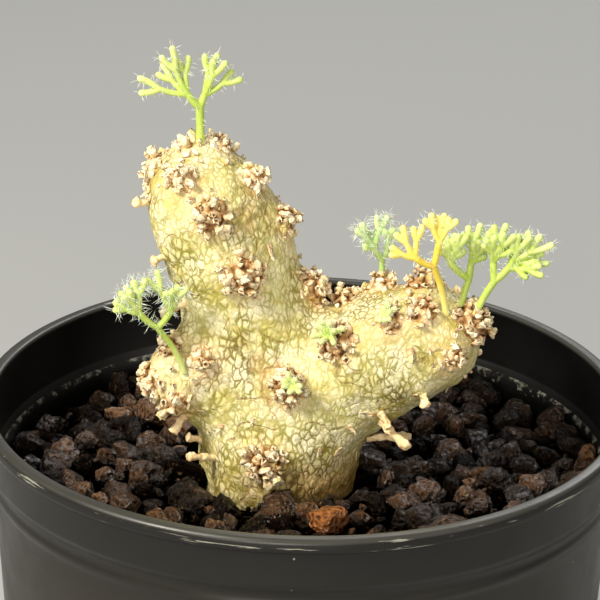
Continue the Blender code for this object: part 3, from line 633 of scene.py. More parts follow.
@dataclass(frozen=True)
class PlasticFinish(Finish):
    """Injection-moulded black polypropylene: satin, with dust and handling marks, and painted sheen on
    the outer wall and lip.

    Attributes:
        colour: The plastic's own colour.
        grit_height: Height of the grit's surface.
        rim_radius: Radius of the pot's rim.
        rim_height: Height of the pot's rim.
        inside_radius: Radius within which a wall is the inner one.
        tide_lift: How far above the grit the tide line lies.
        tide_reach: How far the tide line spreads up and down.
        dust_sheen_low: Height up to which the outer wall's dust and painted sheen is full.
        dust_sheen_high: Height at which the dust and painted sheen have thinned.
        draw_out: How many times longer along the rim than across it a scuff is.
    """

    # Moulded plastic: an even black with soft highlights, greyed by dust and rubbing, with painted sheen
    # on the outer wall and a painted highlight on the lip.
    name: str = "moulded_polypropylene"
    roughness: float = 0.38
    ior: float = 1.49
    colour: str = "030303"
    grit_height: float = 0.0
    rim_radius: float = 45.0 * MM
    rim_height: float = 80.0 * MM
    inside_radius: float = 42.3 * MM
    tide_lift: float = 1.2 * MM
    tide_reach: float = 2.4 * MM
    dust_sheen_low: float = 62.0 * MM
    dust_sheen_high: float = 78.5 * MM
    draw_out: float = 18.0

    def dress(self, tree: NodeTree, shader: Node) -> None:
        """Adds uneven satin, dust, scuffs, the tide line that watering leaves inside, and painted sheen
        and highlight on the outer wall and lip.

        Args:
            tree: The material's node tree.
            shader: Its Principled BSDF.
        """
        place = add_node(tree, "ShaderNodeTexCoord").outputs["Object"]
        haze = add_node(
            tree, "ShaderNodeTexNoise", None,
            {"Vector": place, "Scale": per_metre(9.0), "Detail": 4.0, "Roughness": 0.6},
        ).outputs["Fac"]
        satin = add_node(
            tree, "ShaderNodeMapRange", None,
            {"Value": haze, "From Min": 0.3, "From Max": 0.7, "To Min": 0.3, "To Max": 0.46},
        ).outputs["Result"]
        specks = add_node(
            tree, "ShaderNodeTexVoronoi", {"feature": "F1"}, {"Vector": place, "Scale": per_metre(4.2)}
        ).outputs["Distance"]
        dot = add_node(
            tree, "ShaderNodeMapRange", None,
            {"Value": specks, "From Min": 0.02, "From Max": 0.05, "To Min": 0.6, "To Max": 0.0},
        ).outputs["Result"]
        parts = add_node(tree, "ShaderNodeSeparateXYZ", None, {0: place})
        level = add_node(
            tree, "ShaderNodeMath", DIFFERENCE,
            {0: parts.outputs["Z"], 1: self.grit_height + self.tide_lift},
        ).outputs["Value"]
        away = add_node(tree, "ShaderNodeMath", SIZE, {0: level}).outputs["Value"]
        crust = add_node(
            tree, "ShaderNodeTexNoise", None,
            {"Vector": place, "Scale": per_metre(2.0), "Detail": 6.0, "Roughness": 0.75},
        ).outputs["Fac"]
        band = add_node(
            tree, "ShaderNodeMapRange", None,
            {
                "Value": away, "From Min": 0.0, "From Max": self.tide_reach,
                "To Min": 0.16, "To Max": -0.1,
            },
        ).outputs["Result"]
        edge = add_node(tree, "ShaderNodeMath", SUM, {0: crust, 1: band}).outputs["Value"]
        tide = add_node(
            tree, "ShaderNodeMapRange", None,
            {"Value": edge, "From Min": 0.62, "From Max": 0.72, "To Min": 0.0, "To Max": 0.5},
        ).outputs["Result"]
        level_place = add_node(
            tree, "ShaderNodeVectorMath", PRODUCT, {0: place, 1: (1.0, 1.0, 0.0)}
        ).outputs["Vector"]
        radius = add_node(
            tree, "ShaderNodeVectorMath", {"operation": "LENGTH"}, {0: level_place}
        ).outputs["Value"]
        within = add_node(
            tree, "ShaderNodeMath", {"operation": "LESS_THAN"}, {0: radius, 1: self.inside_radius}
        ).outputs["Value"]
        inner_tide = add_node(tree, "ShaderNodeMath", PRODUCT, {0: tide, 1: within}).outputs["Value"]
        on_lip = add_node(
            tree, "ShaderNodeMapRange", None,
            {
                "Value": radius, "From Min": self.rim_radius - 0.35 * MM,
                "From Max": self.rim_radius - 0.12 * MM, "To Min": -0.3, "To Max": 0.02,
            },
        ).outputs["Result"]
        bearing = add_node(
            tree, "ShaderNodeMath", {"operation": "ARCTAN2"},
            {0: parts.outputs["Y"], 1: parts.outputs["X"]},
        ).outputs["Value"]
        stretches = (
            (bearing, self.rim_radius), (radius, self.draw_out), (parts.outputs["Z"], self.draw_out)
        )
        around, across, upward = (
            add_node(tree, "ShaderNodeMath", PRODUCT, {0: length, 1: factor}).outputs["Value"]
            for length, factor in stretches
        )
        run_along = add_node(
            tree, "ShaderNodeCombineXYZ", None, {"X": around, "Y": across, "Z": upward}
        ).outputs["Vector"]
        wear = add_node(
            tree, "ShaderNodeTexNoise", None,
            {"Vector": run_along, "Scale": per_metre(9.0), "Detail": 6.0, "Roughness": 0.62},
        ).outputs["Fac"]
        rubbed = add_node(tree, "ShaderNodeMath", SUM, {0: wear, 1: on_lip}).outputs["Value"]
        scuff = add_node(
            tree, "ShaderNodeMapRange", None,
            {"Value": rubbed, "From Min": 0.61, "From Max": 0.64, "To Min": 0.0, "To Max": 0.55},
        ).outputs["Result"]
        dusted = add_node(tree, "ShaderNodeMath", GREATER, {0: scuff, 1: dot}).outputs["Value"]
        marks = add_node(tree, "ShaderNodeMath", GREATER, {0: inner_tide, 1: dusted}).outputs["Value"]
        # Dust and painted sheen: walls that face outward are greyed, fully low down and thinning towards
        # the rim; the inner wall stays black, as in shade.
        outward = add_node(
            tree, "ShaderNodeVectorMath", {"operation": "NORMALIZE"}, {0: level_place}
        ).outputs["Vector"]
        normal = add_node(tree, "ShaderNodeNewGeometry").outputs["Normal"]
        facing = add_node(
            tree, "ShaderNodeVectorMath", {"operation": "DOT_PRODUCT"}, {0: normal, 1: outward}
        ).outputs["Value"]
        thinning = add_node(
            tree, "ShaderNodeMapRange", SMOOTH,
            {
                "Value": parts.outputs["Z"], "From Min": self.dust_sheen_low, "From Max": self.dust_sheen_high,
                "To Min": 1.0, "To Max": 0.25,
            },
        ).outputs["Result"]
        dust = add_node(
            tree, "ShaderNodeMath", {"operation": "MULTIPLY", "use_clamp": True},
            {0: facing, 1: thinning},
        ).outputs["Value"]
        dust_and_sheen = add_node(
            tree, "ShaderNodeMix", BLEND, {0: dust, 6: linear(self.colour), 7: linear("221f19")}
        ).outputs[2]
        # Painted highlight: the top of the lip is greyed lighter, partly rubbed plastic and partly a
        # painted highlight.
        crest = add_node(
            tree, "ShaderNodeMapRange", SMOOTH,
            {
                "Value": parts.outputs["Z"], "From Min": self.rim_height - 0.75 * MM,
                "From Max": self.rim_height - 0.15 * MM, "To Min": 0.0, "To Max": 0.85,
            },
        ).outputs["Result"]
        lip_highlighted = add_node(
            tree, "ShaderNodeMix", BLEND, {0: crest, 6: dust_and_sheen, 7: linear("3d3d38")}
        ).outputs[2]
        colour = add_node(
            tree, "ShaderNodeMix", BLEND, {0: marks, 6: lip_highlighted, 7: linear("b4b4a4")}
        ).outputs[2]
        tree.links.new(colour, shader.inputs["Base Color"])
        dulled = add_node(tree, "ShaderNodeMath", GREATER, {0: marks, 1: satin}).outputs["Value"]
        tree.links.new(dulled, shader.inputs["Roughness"])
        shader.inputs["Specular IOR Level"].default_value = 0.45
        grain = add_node(
            tree, "ShaderNodeTexNoise", None, {"Vector": place, "Scale": per_metre(0.5), "Detail": 2.0}
        ).outputs["Fac"]
        relief = add_node(
            tree, "ShaderNodeBump", None, {"Height": grain, "Strength": 0.12, "Distance": 0.05 * MM}
        )
        tree.links.new(relief.outputs["Normal"], shader.inputs["Normal"])


@dataclass(frozen=True)
class FloorFinish(Finish):
    """Pale grey paper sweep, as rolled."""

    # Uncoated paper: flat and matt, so that the shadows stay soft.
    name: str = "paper_sweep"
    roughness: float = 0.9

    def dress(self, tree: NodeTree, shader: Node) -> None:
        """Sets the plain pale colour."""
        shader.inputs["Base Color"].default_value = linear("a9abab")


def deselect_all() -> None:
    """Deselects every object, so that an operator acts only on what is picked next."""
    for obj in bpy.context.view_layer.objects:
        obj.select_set(False)


def pick(obj: Object) -> Object:
    """Makes an object the only selected one and the active one.

    Args:
        obj: The object.

    Returns:
        The same object.
    """
    deselect_all()
    obj.select_set(True)
    bpy.context.view_layer.objects.active = obj
    return obj


def modify(obj: Object, kind: str, **settings: object) -> None:
    """Adds a modifier with its settings and applies it.

    Args:
        obj: The piece.
        kind: The modifier's type name.
        settings: Modifier options by attribute name.
    """
    pick(obj)
    modifier = obj.modifiers.new(kind.lower(), kind)
    for option, value in settings.items():
        setattr(modifier, option, value)
    bpy.ops.object.modifier_apply(modifier=modifier.name)


def drop(obj: Object) -> None:
    """Removes a helper object and its mesh.

    Args:
        obj: The helper.
    """
    data = obj.data
    bpy.data.objects.remove(obj, do_unlink=True)
    bpy.data.meshes.remove(data)


def new_piece(name: str, verts: np.ndarray, faces: Sequence[Sequence[int]]) -> Object:
    """Adds a mesh object at the origin.

    Args:
        name: The object's name.
        verts: Its vertices.
        faces: Its faces, as runs of vertex numbers.

    Returns:
        The new object.
    """
    mesh = bpy.data.meshes.new(name)
    mesh.from_pydata(verts.tolist(), [], faces)
    mesh.update()
    obj = bpy.data.objects.new(name, mesh)
    bpy.context.scene.collection.objects.link(obj)
    return obj


def cad_copy(name: str, node: str) -> Object:
    """Copies a CAD node's mesh into a new object and merges its loose triangles.

    Args:
        name: The new object's name.
        node: The CAD node.

    Returns:
        The copy, at the origin.
    """
    copy = bpy.data.objects.new(name, frame["nodes"][node].data.copy())
    copy.data.materials.clear()
    bpy.context.scene.collection.objects.link(copy)
    pick(copy)
    bpy.ops.object.mode_set(mode="EDIT")
    bpy.ops.mesh.select_all(action="SELECT")
    bpy.ops.mesh.remove_doubles(threshold=1e-6)
    bpy.ops.object.mode_set(mode="OBJECT")
    return copy


def vertex_values(obj: Object, kind: str) -> np.ndarray:
    """Reads one vector from each of a piece's vertices.

    Args:
        obj: The piece.
        kind: Which vector: "co" or "normal".

    Returns:
        An array of shape (n, 3).
    """
    flat = np.empty(len(obj.data.vertices) * 3, np.float32)
    obj.data.vertices.foreach_get(kind, flat)
    return flat.reshape(-1, 3).astype(float)


def coordinates(obj: Object) -> np.ndarray:
    """Where the piece's vertices are."""
    return vertex_values(obj, "co")


def set_coordinates(obj: Object, verts: np.ndarray) -> None:
    """Moves the piece's vertices to new places."""
    obj.data.vertices.foreach_set("co", verts.astype(np.float32).ravel())
    obj.data.update()


def vertex_normals(obj: Object) -> np.ndarray:
    """Which way the piece's vertices face."""
    return vertex_values(obj, "normal")


def set_tone(obj: Object, values: np.ndarray) -> None:
    """Stores one number per vertex for the finish to read."""
    tone = obj.data.attributes.new("tone", "FLOAT", "POINT")
    tone.data.foreach_set("value", values.astype(np.float32))


def smooth_shade(obj: Object) -> None:
    """Shades a piece smooth all over."""
    pick(obj)
    bpy.ops.object.shade_smooth()


def present(obj: Object, finish: Finish, nodes: Sequence[str] = ()) -> Object:
    """Dresses a finished piece, hangs it on the frame and reports it.

    Args:
        obj: The piece, at the origin.
        finish: Its finish.
        nodes: The CAD nodes that it stands for.

    Returns:
        The piece.
    """
    obj.data.materials.clear()
    obj.data.materials.append(finish.material())
    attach(obj, BODY)
    if nodes:
        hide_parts(*nodes)
    LOG.info("%s: %d faces, for %s", obj.name, len(obj.data.polygons), ", ".join(nodes) or "no node")
    return obj


def surface_of(obj: Object) -> BVHTree:
    """A search tree over a piece's faces."""
    faces = [face.vertices for face in obj.data.polygons]
    return BVHTree.FromPolygons([vert.co for vert in obj.data.vertices], faces)


def node_middle(node: str) -> Vector:
    """Middle of a CAD node's box."""
    low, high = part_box(node)
    return (low + high) / 2


def turn_to(direction: Vector, spin: float) -> np.ndarray:
    """Rotation that takes +Z to a direction after a spin about +Z, as a 3 by 3 array."""
    turn = direction.to_track_quat("Z", "Y") @ Quaternion((0.0, 0.0, 1.0), spin)
    return np.array(turn.to_matrix())


def leaning(lean: float, bearing: float) -> np.ndarray:
    """Unit vector that leans from +Z by one angle towards a bearing."""
    aside = math.sin(lean)
    return np.array((aside * math.cos(bearing), aside * math.sin(bearing), math.cos(lean)))


@dataclass
class Template:
    """A small shape that is modelled once and then copied many times.

    Attributes:
        verts: Its vertices.
        faces: Its faces.
        tone: One number per vertex, for the finish.
    """

    verts: np.ndarray
    faces: list[tuple[int, ...]]
    tone: np.ndarray

    @classmethod
    def from_object(cls, obj: Object, tone: Callable[[np.ndarray], np.ndarray]) -> "Template":
        """Reads a modelled object, then removes it.

        Args:
            obj: The modelled shape.
            tone: Works out each vertex's tone from the vertices.

        Returns:
            The template.
        """
        verts = coordinates(obj)
        faces = [tuple(face.vertices) for face in obj.data.polygons]
        drop(obj)
        return cls(verts, faces, tone(verts))


@dataclass
class Heap:
    """Copies of templates that are gathered into one piece.

    Attributes:
        verts: Vertices of each copy.
        faces: Faces of all the copies, numbered through.
        tone: Tones of each copy.
        count: Vertices so far.
    """

    verts: list[np.ndarray] = field(default_factory=list)
    faces: list[tuple[int, ...]] = field(default_factory=list)
    tone: list[np.ndarray] = field(default_factory=list)
    count: int = 0

    def add(self, verts: np.ndarray, faces: Sequence[Sequence[int]], tone: np.ndarray) -> None:
        """Adds one placed copy.

        Args:
            verts: Its vertices.
            faces: Its faces, numbered from its own first vertex.
            tone: One number per vertex, for the finish.
        """
        self.faces += [tuple(corner + self.count for corner in face) for face in faces]
        self.verts.append(verts)
        self.tone.append(tone)
        self.count += len(verts)

    def piece(self, name: str) -> Object:
        """Makes the heap one object, shaded smooth, with its tones.

        Args:
            name: The object's name.

        Returns:
            The object.
        """
        obj = new_piece(name, np.concatenate(self.verts), self.faces)
        set_tone(obj, np.concatenate(self.tone))
        smooth_shade(obj)
        return obj


def lathe(name: str, profile: Sequence[tuple[float, float]], segments: int) -> Object:
    """Turns a closed body by extruding a ring through a profile.

    Args:
        name: The object's name.
        profile: Radius and height of each ring, from the middle of the underside, up the
            outside, over the lip and down the inside to the middle of the floor.
        segments: Faces round the body.

    Returns:
        The turned body, with its poles filled.
    """
    first_radius, first_height = profile[0]
    deselect_all()
    bpy.ops.mesh.primitive_circle_add(
        vertices=segments, radius=first_radius, fill_type="NGON", location=(0.0, 0.0, first_height)
    )
    obj = bpy.context.active_object
    obj.name = name
    bpy.ops.object.transform_apply(location=True, rotation=True, scale=True)
    bpy.ops.object.mode_set(mode="EDIT")
    bpy.ops.mesh.select_all(action="SELECT")
    bpy.ops.mesh.extrude_region_move(TRANSFORM_OT_translate={"value": (0.0, 0.0, 0.0)})
    radius, height = first_radius, first_height
    for index, (next_radius, next_height) in enumerate(profile[1:]):
        if index:
            bpy.ops.mesh.extrude_region_move(TRANSFORM_OT_translate={"value": (0.0, 0.0, 0.0)})
        bpy.ops.transform.translate(value=(0.0, 0.0, next_height - height))
        ratio = next_radius / radius
        bpy.ops.transform.resize(value=(ratio, ratio, 1.0), center_override=(0.0, 0.0, next_height))
        radius, height = next_radius, next_height
    bpy.ops.mesh.select_all(action="SELECT")
    bpy.ops.mesh.remove_doubles(threshold=1e-7)
    bpy.ops.mesh.normals_make_consistent(inside=False)
    bpy.ops.object.mode_set(mode="OBJECT")
    return obj


class StoneCut(Enum):
    """How finely a stone template is meshed."""

    FINE = 3
    COARSE = 2


@dataclass
class Pot:
    """The thin-walled plastic pot: foot, drained floor, tapered wall, belt, collar and lip.

    Attributes:
        segments: Faces round the pot.
        wall: Wall thickness.
        floor_lift: Height of the floor's underside above the foot.
        floor_thickness: Thickness of the floor.
        foot_radius: Outer radius of the foot.
        foot_width: Width of the foot ring.
        lip_height: Height of the lip.
        lip_round: Radius of the lip's edges.
        lip_proud: How far the lip stands out from the collar.
        collar_height: Height of the collar under the lip.
        collar_step: How far the collar stands out from the wall.
        belt_height: Height of the soft belt under the collar.
        belt_proud: How far the belt swells.
        drain_radius: Radius of a drain hole.
        drain_ring: Radius of the ring of drain holes.
        drain_count: Drain holes in the ring.
        notch_count: Notches through the foot.
        notch_size: Depth, width and height of a notch's cutter.
        sharp_degrees: Turn past which an edge stays sharp.
        rim_radius: Outer radius of the rim.
        height: Height of the rim.
    """

    segments: int = 160
    wall: float = 1.2 * MM
    floor_lift: float = 2.0 * MM
    floor_thickness: float = 1.4 * MM
    foot_radius: float = 38.5 * MM
    foot_width: float = 2.6 * MM
    lip_height: float = 2.2 * MM
    lip_round: float = 0.8 * MM
    lip_proud: float = 0.8 * MM
    collar_height: float = 6.4 * MM
    collar_step: float = 1.0 * MM
    belt_height: float = 3.0 * MM
    belt_proud: float = 0.3 * MM
    drain_radius: float = 1.7 * MM
    drain_ring: float = 22.0 * MM
    drain_count: int = 6
    notch_count: int = 4
    notch_size: tuple[float, float, float] = (10.0 * MM, 6.0 * MM, 2.0 * MM)
    sharp_degrees: float = 40.0
    rim_radius: float = field(init=False)
    height: float = field(init=False)

    def __post_init__(self) -> None:
        """Takes the rim's radius and height from the frame."""
        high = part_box("pot")[1]
        self.rim_radius = high.x
        self.height = high.z

    def wall_radius(self, height: float) -> float:
        """Outer radius of the plain wall.

        Args:
            height: Height above the foot.

        Returns:
            The radius there.
        """
        top = self.rim_radius - self.lip_proud - self.collar_step
        rise = self.height - self.lip_height - self.collar_height
        return self.foot_radius + (top - self.foot_radius) * height / rise

    def inner_radius(self, height: float) -> float:
        """Inner radius of the wall at a height."""
        return self.wall_radius(height) - self.wall

    def corner(
        self, radius: float, height: float, round_radius: float, start: float, end: float
    ) -> list[tuple[float, float]]:
        """Points of a rounded edge of the profile.

        Args:
            radius: Distance of the round's centre from the axis.
            height: Height of the round's centre.
            round_radius: Radius of the round.
            start: First angle in degrees, from outward.
            end: Last angle in degrees.

        Returns:
            Radius and height of each point.
        """
        angles = np.radians(np.linspace(start, end, 7))
        return [
            (radius + round_radius * math.cos(a), height + round_radius * math.sin(a)) for a in angles
        ]

    def profile(self) -> list[tuple[float, float]]:
        """The wall's section, from the underside, up the outside and down to the floor.

        Returns:
            Radius and height of each point.
        """
        collar = self.rim_radius - self.lip_proud
        belt_top = self.height - self.lip_height - self.collar_height
        belt_foot = belt_top - self.belt_height
        lip_inner = collar - self.wall
        floor_top = self.floor_lift + self.floor_thickness
        inside_foot = self.foot_radius - self.foot_width
        lip_foot = self.height - self.lip_height
        run = [(inside_foot, self.floor_lift), (inside_foot + 0.1 * MM, 0.3 * MM)]
        run += [(inside_foot + 0.4 * MM, 0.0), (self.foot_radius - 0.5 * MM, 0.0)]
        run += [(self.foot_radius - 0.15 * MM, 0.15 * MM), (self.wall_radius(0.5 * MM), 0.5 * MM)]
        run += [(self.wall_radius(h), h) for h in np.linspace(3.0 * MM, belt_foot - 1.0 * MM, 10)]
        for share in np.linspace(0.0, 0.8, 9):
            height = belt_foot + share * self.belt_height
            swell = self.belt_proud * math.sin(math.pi * share / 0.8) ** 2
            run.append((self.wall_radius(height) + swell, height))
        step_foot, step_top = belt_top - 0.4 * MM, belt_top + self.collar_step + 0.9 * MM
        for share in np.linspace(0.1, 1.0, 8):
            height = step_foot + share * (step_top - step_foot)
            turn = 0.5 - 0.5 * math.cos(math.pi * share)
            run.append((self.wall_radius(belt_top) * (1 - turn) + collar * turn, height))
        run += [(collar, lip_foot - 0.3 * MM), (collar + 0.05 * MM, lip_foot - 0.05 * MM)]
        lip_middle = self.rim_radius - self.lip_round
        run += self.corner(lip_middle, lip_foot + self.lip_round, self.lip_round, -75, 0)
        run += self.corner(lip_middle, self.height - self.lip_round, self.lip_round, 8, 90)
        run += self.corner(lip_inner + 0.5 * MM, self.height - 0.5 * MM, 0.5 * MM, 90, 180)
        run += [(lip_inner, belt_top + 0.3 * MM), (lip_inner - 0.15 * MM, belt_top)]
        run += [(self.inner_radius(belt_top - self.wall), belt_top - self.wall)]
        run += [(self.inner_radius(h), h) for h in np.linspace(belt_top - 4 * MM, floor_top + MM, 8)]
        run += [(self.inner_radius(floor_top) - 0.5 * MM, floor_top)]
        return run

    def pierce(self, pot: Object) -> None:
        """Cuts the drain holes through the floor and the notches through the foot.

        Args:
            pot: The turned pot.
        """
        depth = 4 * (self.floor_lift + self.floor_thickness)
        turns = [math.tau * index / self.drain_count for index in range(self.drain_count)]
        places = [(0.0, 0.0)]
        places += [(self.drain_ring * math.cos(a), self.drain_ring * math.sin(a)) for a in turns]
        for x, y in places:
            deselect_all()
            bpy.ops.mesh.primitive_cylinder_add(
                vertices=24, radius=self.drain_radius, depth=depth, location=(x, y, self.floor_lift)
            )
            self.cut(pot, bpy.context.active_object)
        for index in range(self.notch_count):
            angle = math.tau * (index + 0.5) / self.notch_count
            deselect_all()
            bpy.ops.mesh.primitive_cube_add(
                size=1.0,
                location=(self.foot_radius * math.cos(angle), self.foot_radius * math.sin(angle), 0.0),
                rotation=(0.0, 0.0, angle),
            )
            cutter = bpy.context.active_object
            cutter.scale = self.notch_size
            self.cut(pot, cutter)

    def cut(self, pot: Object, cutter: Object) -> None:
        """Takes a cutter's shape out of the pot."""
        modify(pot, "BOOLEAN", operation="DIFFERENCE", solver="EXACT", object=cutter)
        drop(cutter)

    def build(self, finish: Finish) -> Object:
        """Makes the pot and dresses it.

        Args:
            finish: The plastic.

        Returns:
            The pot.
        """
        pot = lathe("grow_pot", self.profile(), self.segments)
        self.pierce(pot)
        pick(pot)
        bpy.ops.object.shade_smooth_by_angle(angle=math.radians(self.sharp_degrees))
        return present(pot, finish, ("pot",))


@dataclass
class GritBed:
    """Loose crushed grit heaped to the pot's wall, over a filling toned black as painted shade.

    Attributes:
        pot: The pot that holds it.
        top: Height of the bed's surface.
        pitch: Spacing of the top stones.
        stone_radius: Usual radius of a top stone.
        edge_gap: Clearance from the pot's wall.
        filling_drop: Depth of the solid filling below the surface.
        variants: How many different stones are modelled.
        cuts: Broken faces of a stone.
        cut_reach: Nearest and farthest of them from its middle, beside its radius.
        seed: Start of the scatter.
    """

    pot: Pot
    top: float
    pitch: float = 4.3 * MM
    stone_radius: float = 2.0 * MM
    edge_gap: float = 0.25 * MM
    filling_drop: float = 3.4 * MM
    variants: int = 24
    cuts: int = 9
    cut_reach: tuple[float, float] = (0.52, 0.84)
    seed: int = 11

    def stone(self, cut: StoneCut, number: int) -> Template:
        """One crushed stone of about unit radius, with broken faces and a rough skin.

        Args:
            cut: How finely it is meshed.
            number: Which variant to make.

        Returns:
            The stone's template.
        """
        rng = np.random.default_rng(self.seed * 1000 + number)
        deselect_all()
        bpy.ops.mesh.primitive_ico_sphere_add(subdivisions=cut.value, radius=1.0)
        obj = bpy.context.active_object
        verts = coordinates(obj)
        for _ in range(self.cuts):
            facing = rng.normal(size=3)
            facing /= np.linalg.norm(facing)
            reach = rng.uniform(*self.cut_reach)
            beyond = np.maximum(verts @ facing - reach, 0.0)
            verts -= beyond[:, None] * facing * 0.92
        shift = Vector(rng.uniform(-50, 50, 3))
        bumps = np.array([
            noise.noise(Vector(v) * 2.0 + shift) * 0.18 + noise.noise(Vector(v) * 5.0 + shift) * 0.12
            for v in verts
        ])
        verts *= (1.0 + bumps)[:, None]
        verts *= rng.uniform((0.95, 0.8, 0.62), (1.22, 1.0, 0.9))
        set_coordinates(obj, verts)
        return Template.from_object(obj, lambda v: np.zeros(len(v)))

    def spots(self, pitch: float, rng: np.random.Generator) -> list[tuple[float, float]]:
        """Jittered hexagonal places inside the pot's wall.

        Args:
            pitch: Spacing of the places.
            rng: Source of the jitter.

        Returns:
            X and Y of each place.
        """
        reach = self.pot.inner_radius(self.top)
        rows = int(reach / (pitch * HEX_ROW)) + 1
        found = []
        for row in range(-rows, rows + 1):
            for column in range(-rows - 2, rows + 3):
                x = (column + 0.5 * (row % 2)) * pitch + rng.uniform(-0.3, 0.3) * pitch
                y = row * pitch * HEX_ROW + rng.uniform(-0.3, 0.3) * pitch
                if math.hypot(x, y) < reach - self.stone_radius * 0.45:
                    found.append((x, y))
        return found

    def scatter(
        self,
        heap: Heap,
        stones: Sequence[Template],
        depth: float,
        sizes: tuple[float, float],
        pitch: float,
        keep_off: Sequence[tuple[BVHTree, float]],
        rng: np.random.Generator,
        shade: float = 1.0,
    ) -> None:
        """Lays one layer of stones.

        Args:
            heap: Where the stones go.
            stones: Templates to choose from.
            depth: How far the stones' middles lie below the surface.
            sizes: Least and greatest radius.
            pitch: Spacing of the stones.
            keep_off: Surfaces to stay clear of, each with its distance.
            rng: Source of the scatter.
            shade: Share of their tone that the stones keep; a low share paints them into shade.
        """
        for x, y in self.spots(pitch, rng):
            radius = rng.uniform(*sizes)
            place = Vector((x, y, self.top - depth + rng.uniform(-0.45, 0.45) * MM))
            if any((tree.find_nearest(place)[3] or 0.0) < gap for tree, gap in keep_off):
                continue
            stone = stones[rng.integers(len(stones))]
            turn = turn_to(Vector(rng.normal(size=3)), rng.uniform(0, math.tau))
            lie = np.array(Matrix.Diagonal((1.0, 1.0, 0.86)))
            verts = (stone.verts * radius) @ turn.T @ lie + np.array(place)
            # Painted light and shade: each stone is toned lighter on top and darker underneath.
            lit = np.clip((verts[:, 2] - place.z) / radius * 0.8 + 0.5, 0.0, 1.0)
            heap.add(self.inside(verts), stone.faces, self.tone(rng) * shade * lit)

    def tone(self, rng: np.random.Generator) -> float:
        """Draws one stone's tone: mostly dark to brown, hardly any red.

        Args:
            rng: Source of the tone.

        Returns:
            The tone, from 0 to 1.
        """
        drawn = rng.random()
        if drawn > 0.985:
            return rng.uniform(0.88, 0.94)
        return rng.uniform(0.05, 0.84)

    def inside(self, verts: np.ndarray) -> np.ndarray:
        """Presses vertices back inside the pot's wall.

        Args:
            verts: A placed stone's vertices.

        Returns:
            The vertices, none of them in the wall.
        """
        reach = self.pot.inner_radius(self.top) - self.edge_gap
        away = np.hypot(verts[:, 0], verts[:, 1])
        ratio = np.minimum(1.0, reach / np.maximum(away, 1e-9))
        verts[:, 0] *= ratio
        verts[:, 1] *= ratio
        return verts

    def filling(self) -> Object:
        """Turns the solid filling under the loose stones, toned black as painted shade.

        Returns:
            The filling.
        """
        foot = self.pot.floor_lift + self.pot.floor_thickness + 0.3 * MM
        top = self.top - self.filling_drop
        reach = self.pot.inner_radius(foot) - 0.5 * MM
        edge = self.pot.inner_radius(top) - self.edge_gap
        filling = lathe("grit_filling", [(reach, foot), (edge, top - 0.5 * MM), (edge - MM, top)], 96)
        # Painted shade: the filling takes the blackest tone, as the deep gaps between stones.
        set_tone(filling, np.zeros(len(filling.data.vertices)))
        return filling

    def build(self, caudex: Object, finish: Finish) -> None:
        """Lays the bed and the larger stones on it.

        Args:
            caudex: The stem, which the stones stay clear of.
            finish: The grit.
        """
        rng = np.random.default_rng(self.seed)
        fine = [self.stone(StoneCut.FINE, number) for number in range(self.variants)]
        coarse = [self.stone(StoneCut.COARSE, number + 100) for number in range(self.variants // 2)]
        bark = surface_of(caudex)
        proud = {name: node_middle(name) for name in frame["nodes"] if name.startswith("stone_")}
        heap = Heap()
        keep_off = [(bark, self.stone_radius * 0.8)]
        keep_off += [(surface_of(frame["nodes"][name]), 1.1 * MM) for name in proud]
        # Top stones, then stones in the gaps below them, darkened as painted shade, then crumbs.
        self.scatter(heap, fine, 1.2 * MM, (1.6 * MM, 3.3 * MM), self.pitch, keep_off, rng)
        self.scatter(heap, coarse, 3.2 * MM, (1.7 * MM, 2.3 * MM), self.pitch, [(bark, MM)], rng, 0.12)
        self.scatter(heap, coarse, 0.75 * MM, (0.5 * MM, 1.1 * MM), 4.8 * MM, keep_off, rng)
        present(heap.piece("loose_grit"), finish, ("grit_bed",))
        present(self.filling(), finish, ("grit_bed",))
        for number, (name, middle) in enumerate(sorted(proud.items())):
            low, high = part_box(name)
            stone = fine[number]
            span = stone.verts.max(axis=0) - stone.verts.min(axis=0)
            size = np.array(high - low) / span
            rock = Heap()
            orange = name == "stone_orange"
            tone = 1.0 if orange else rng.uniform(0.45, 0.8)
            centre = (stone.verts.max(axis=0) + stone.verts.min(axis=0)) / 2
            placed = (stone.verts - centre) * size + np.array(middle)
            rock.add(placed, stone.faces, np.full(len(placed), tone))
            present(rock.piece(f"loose_{name}"), finish, (name,))


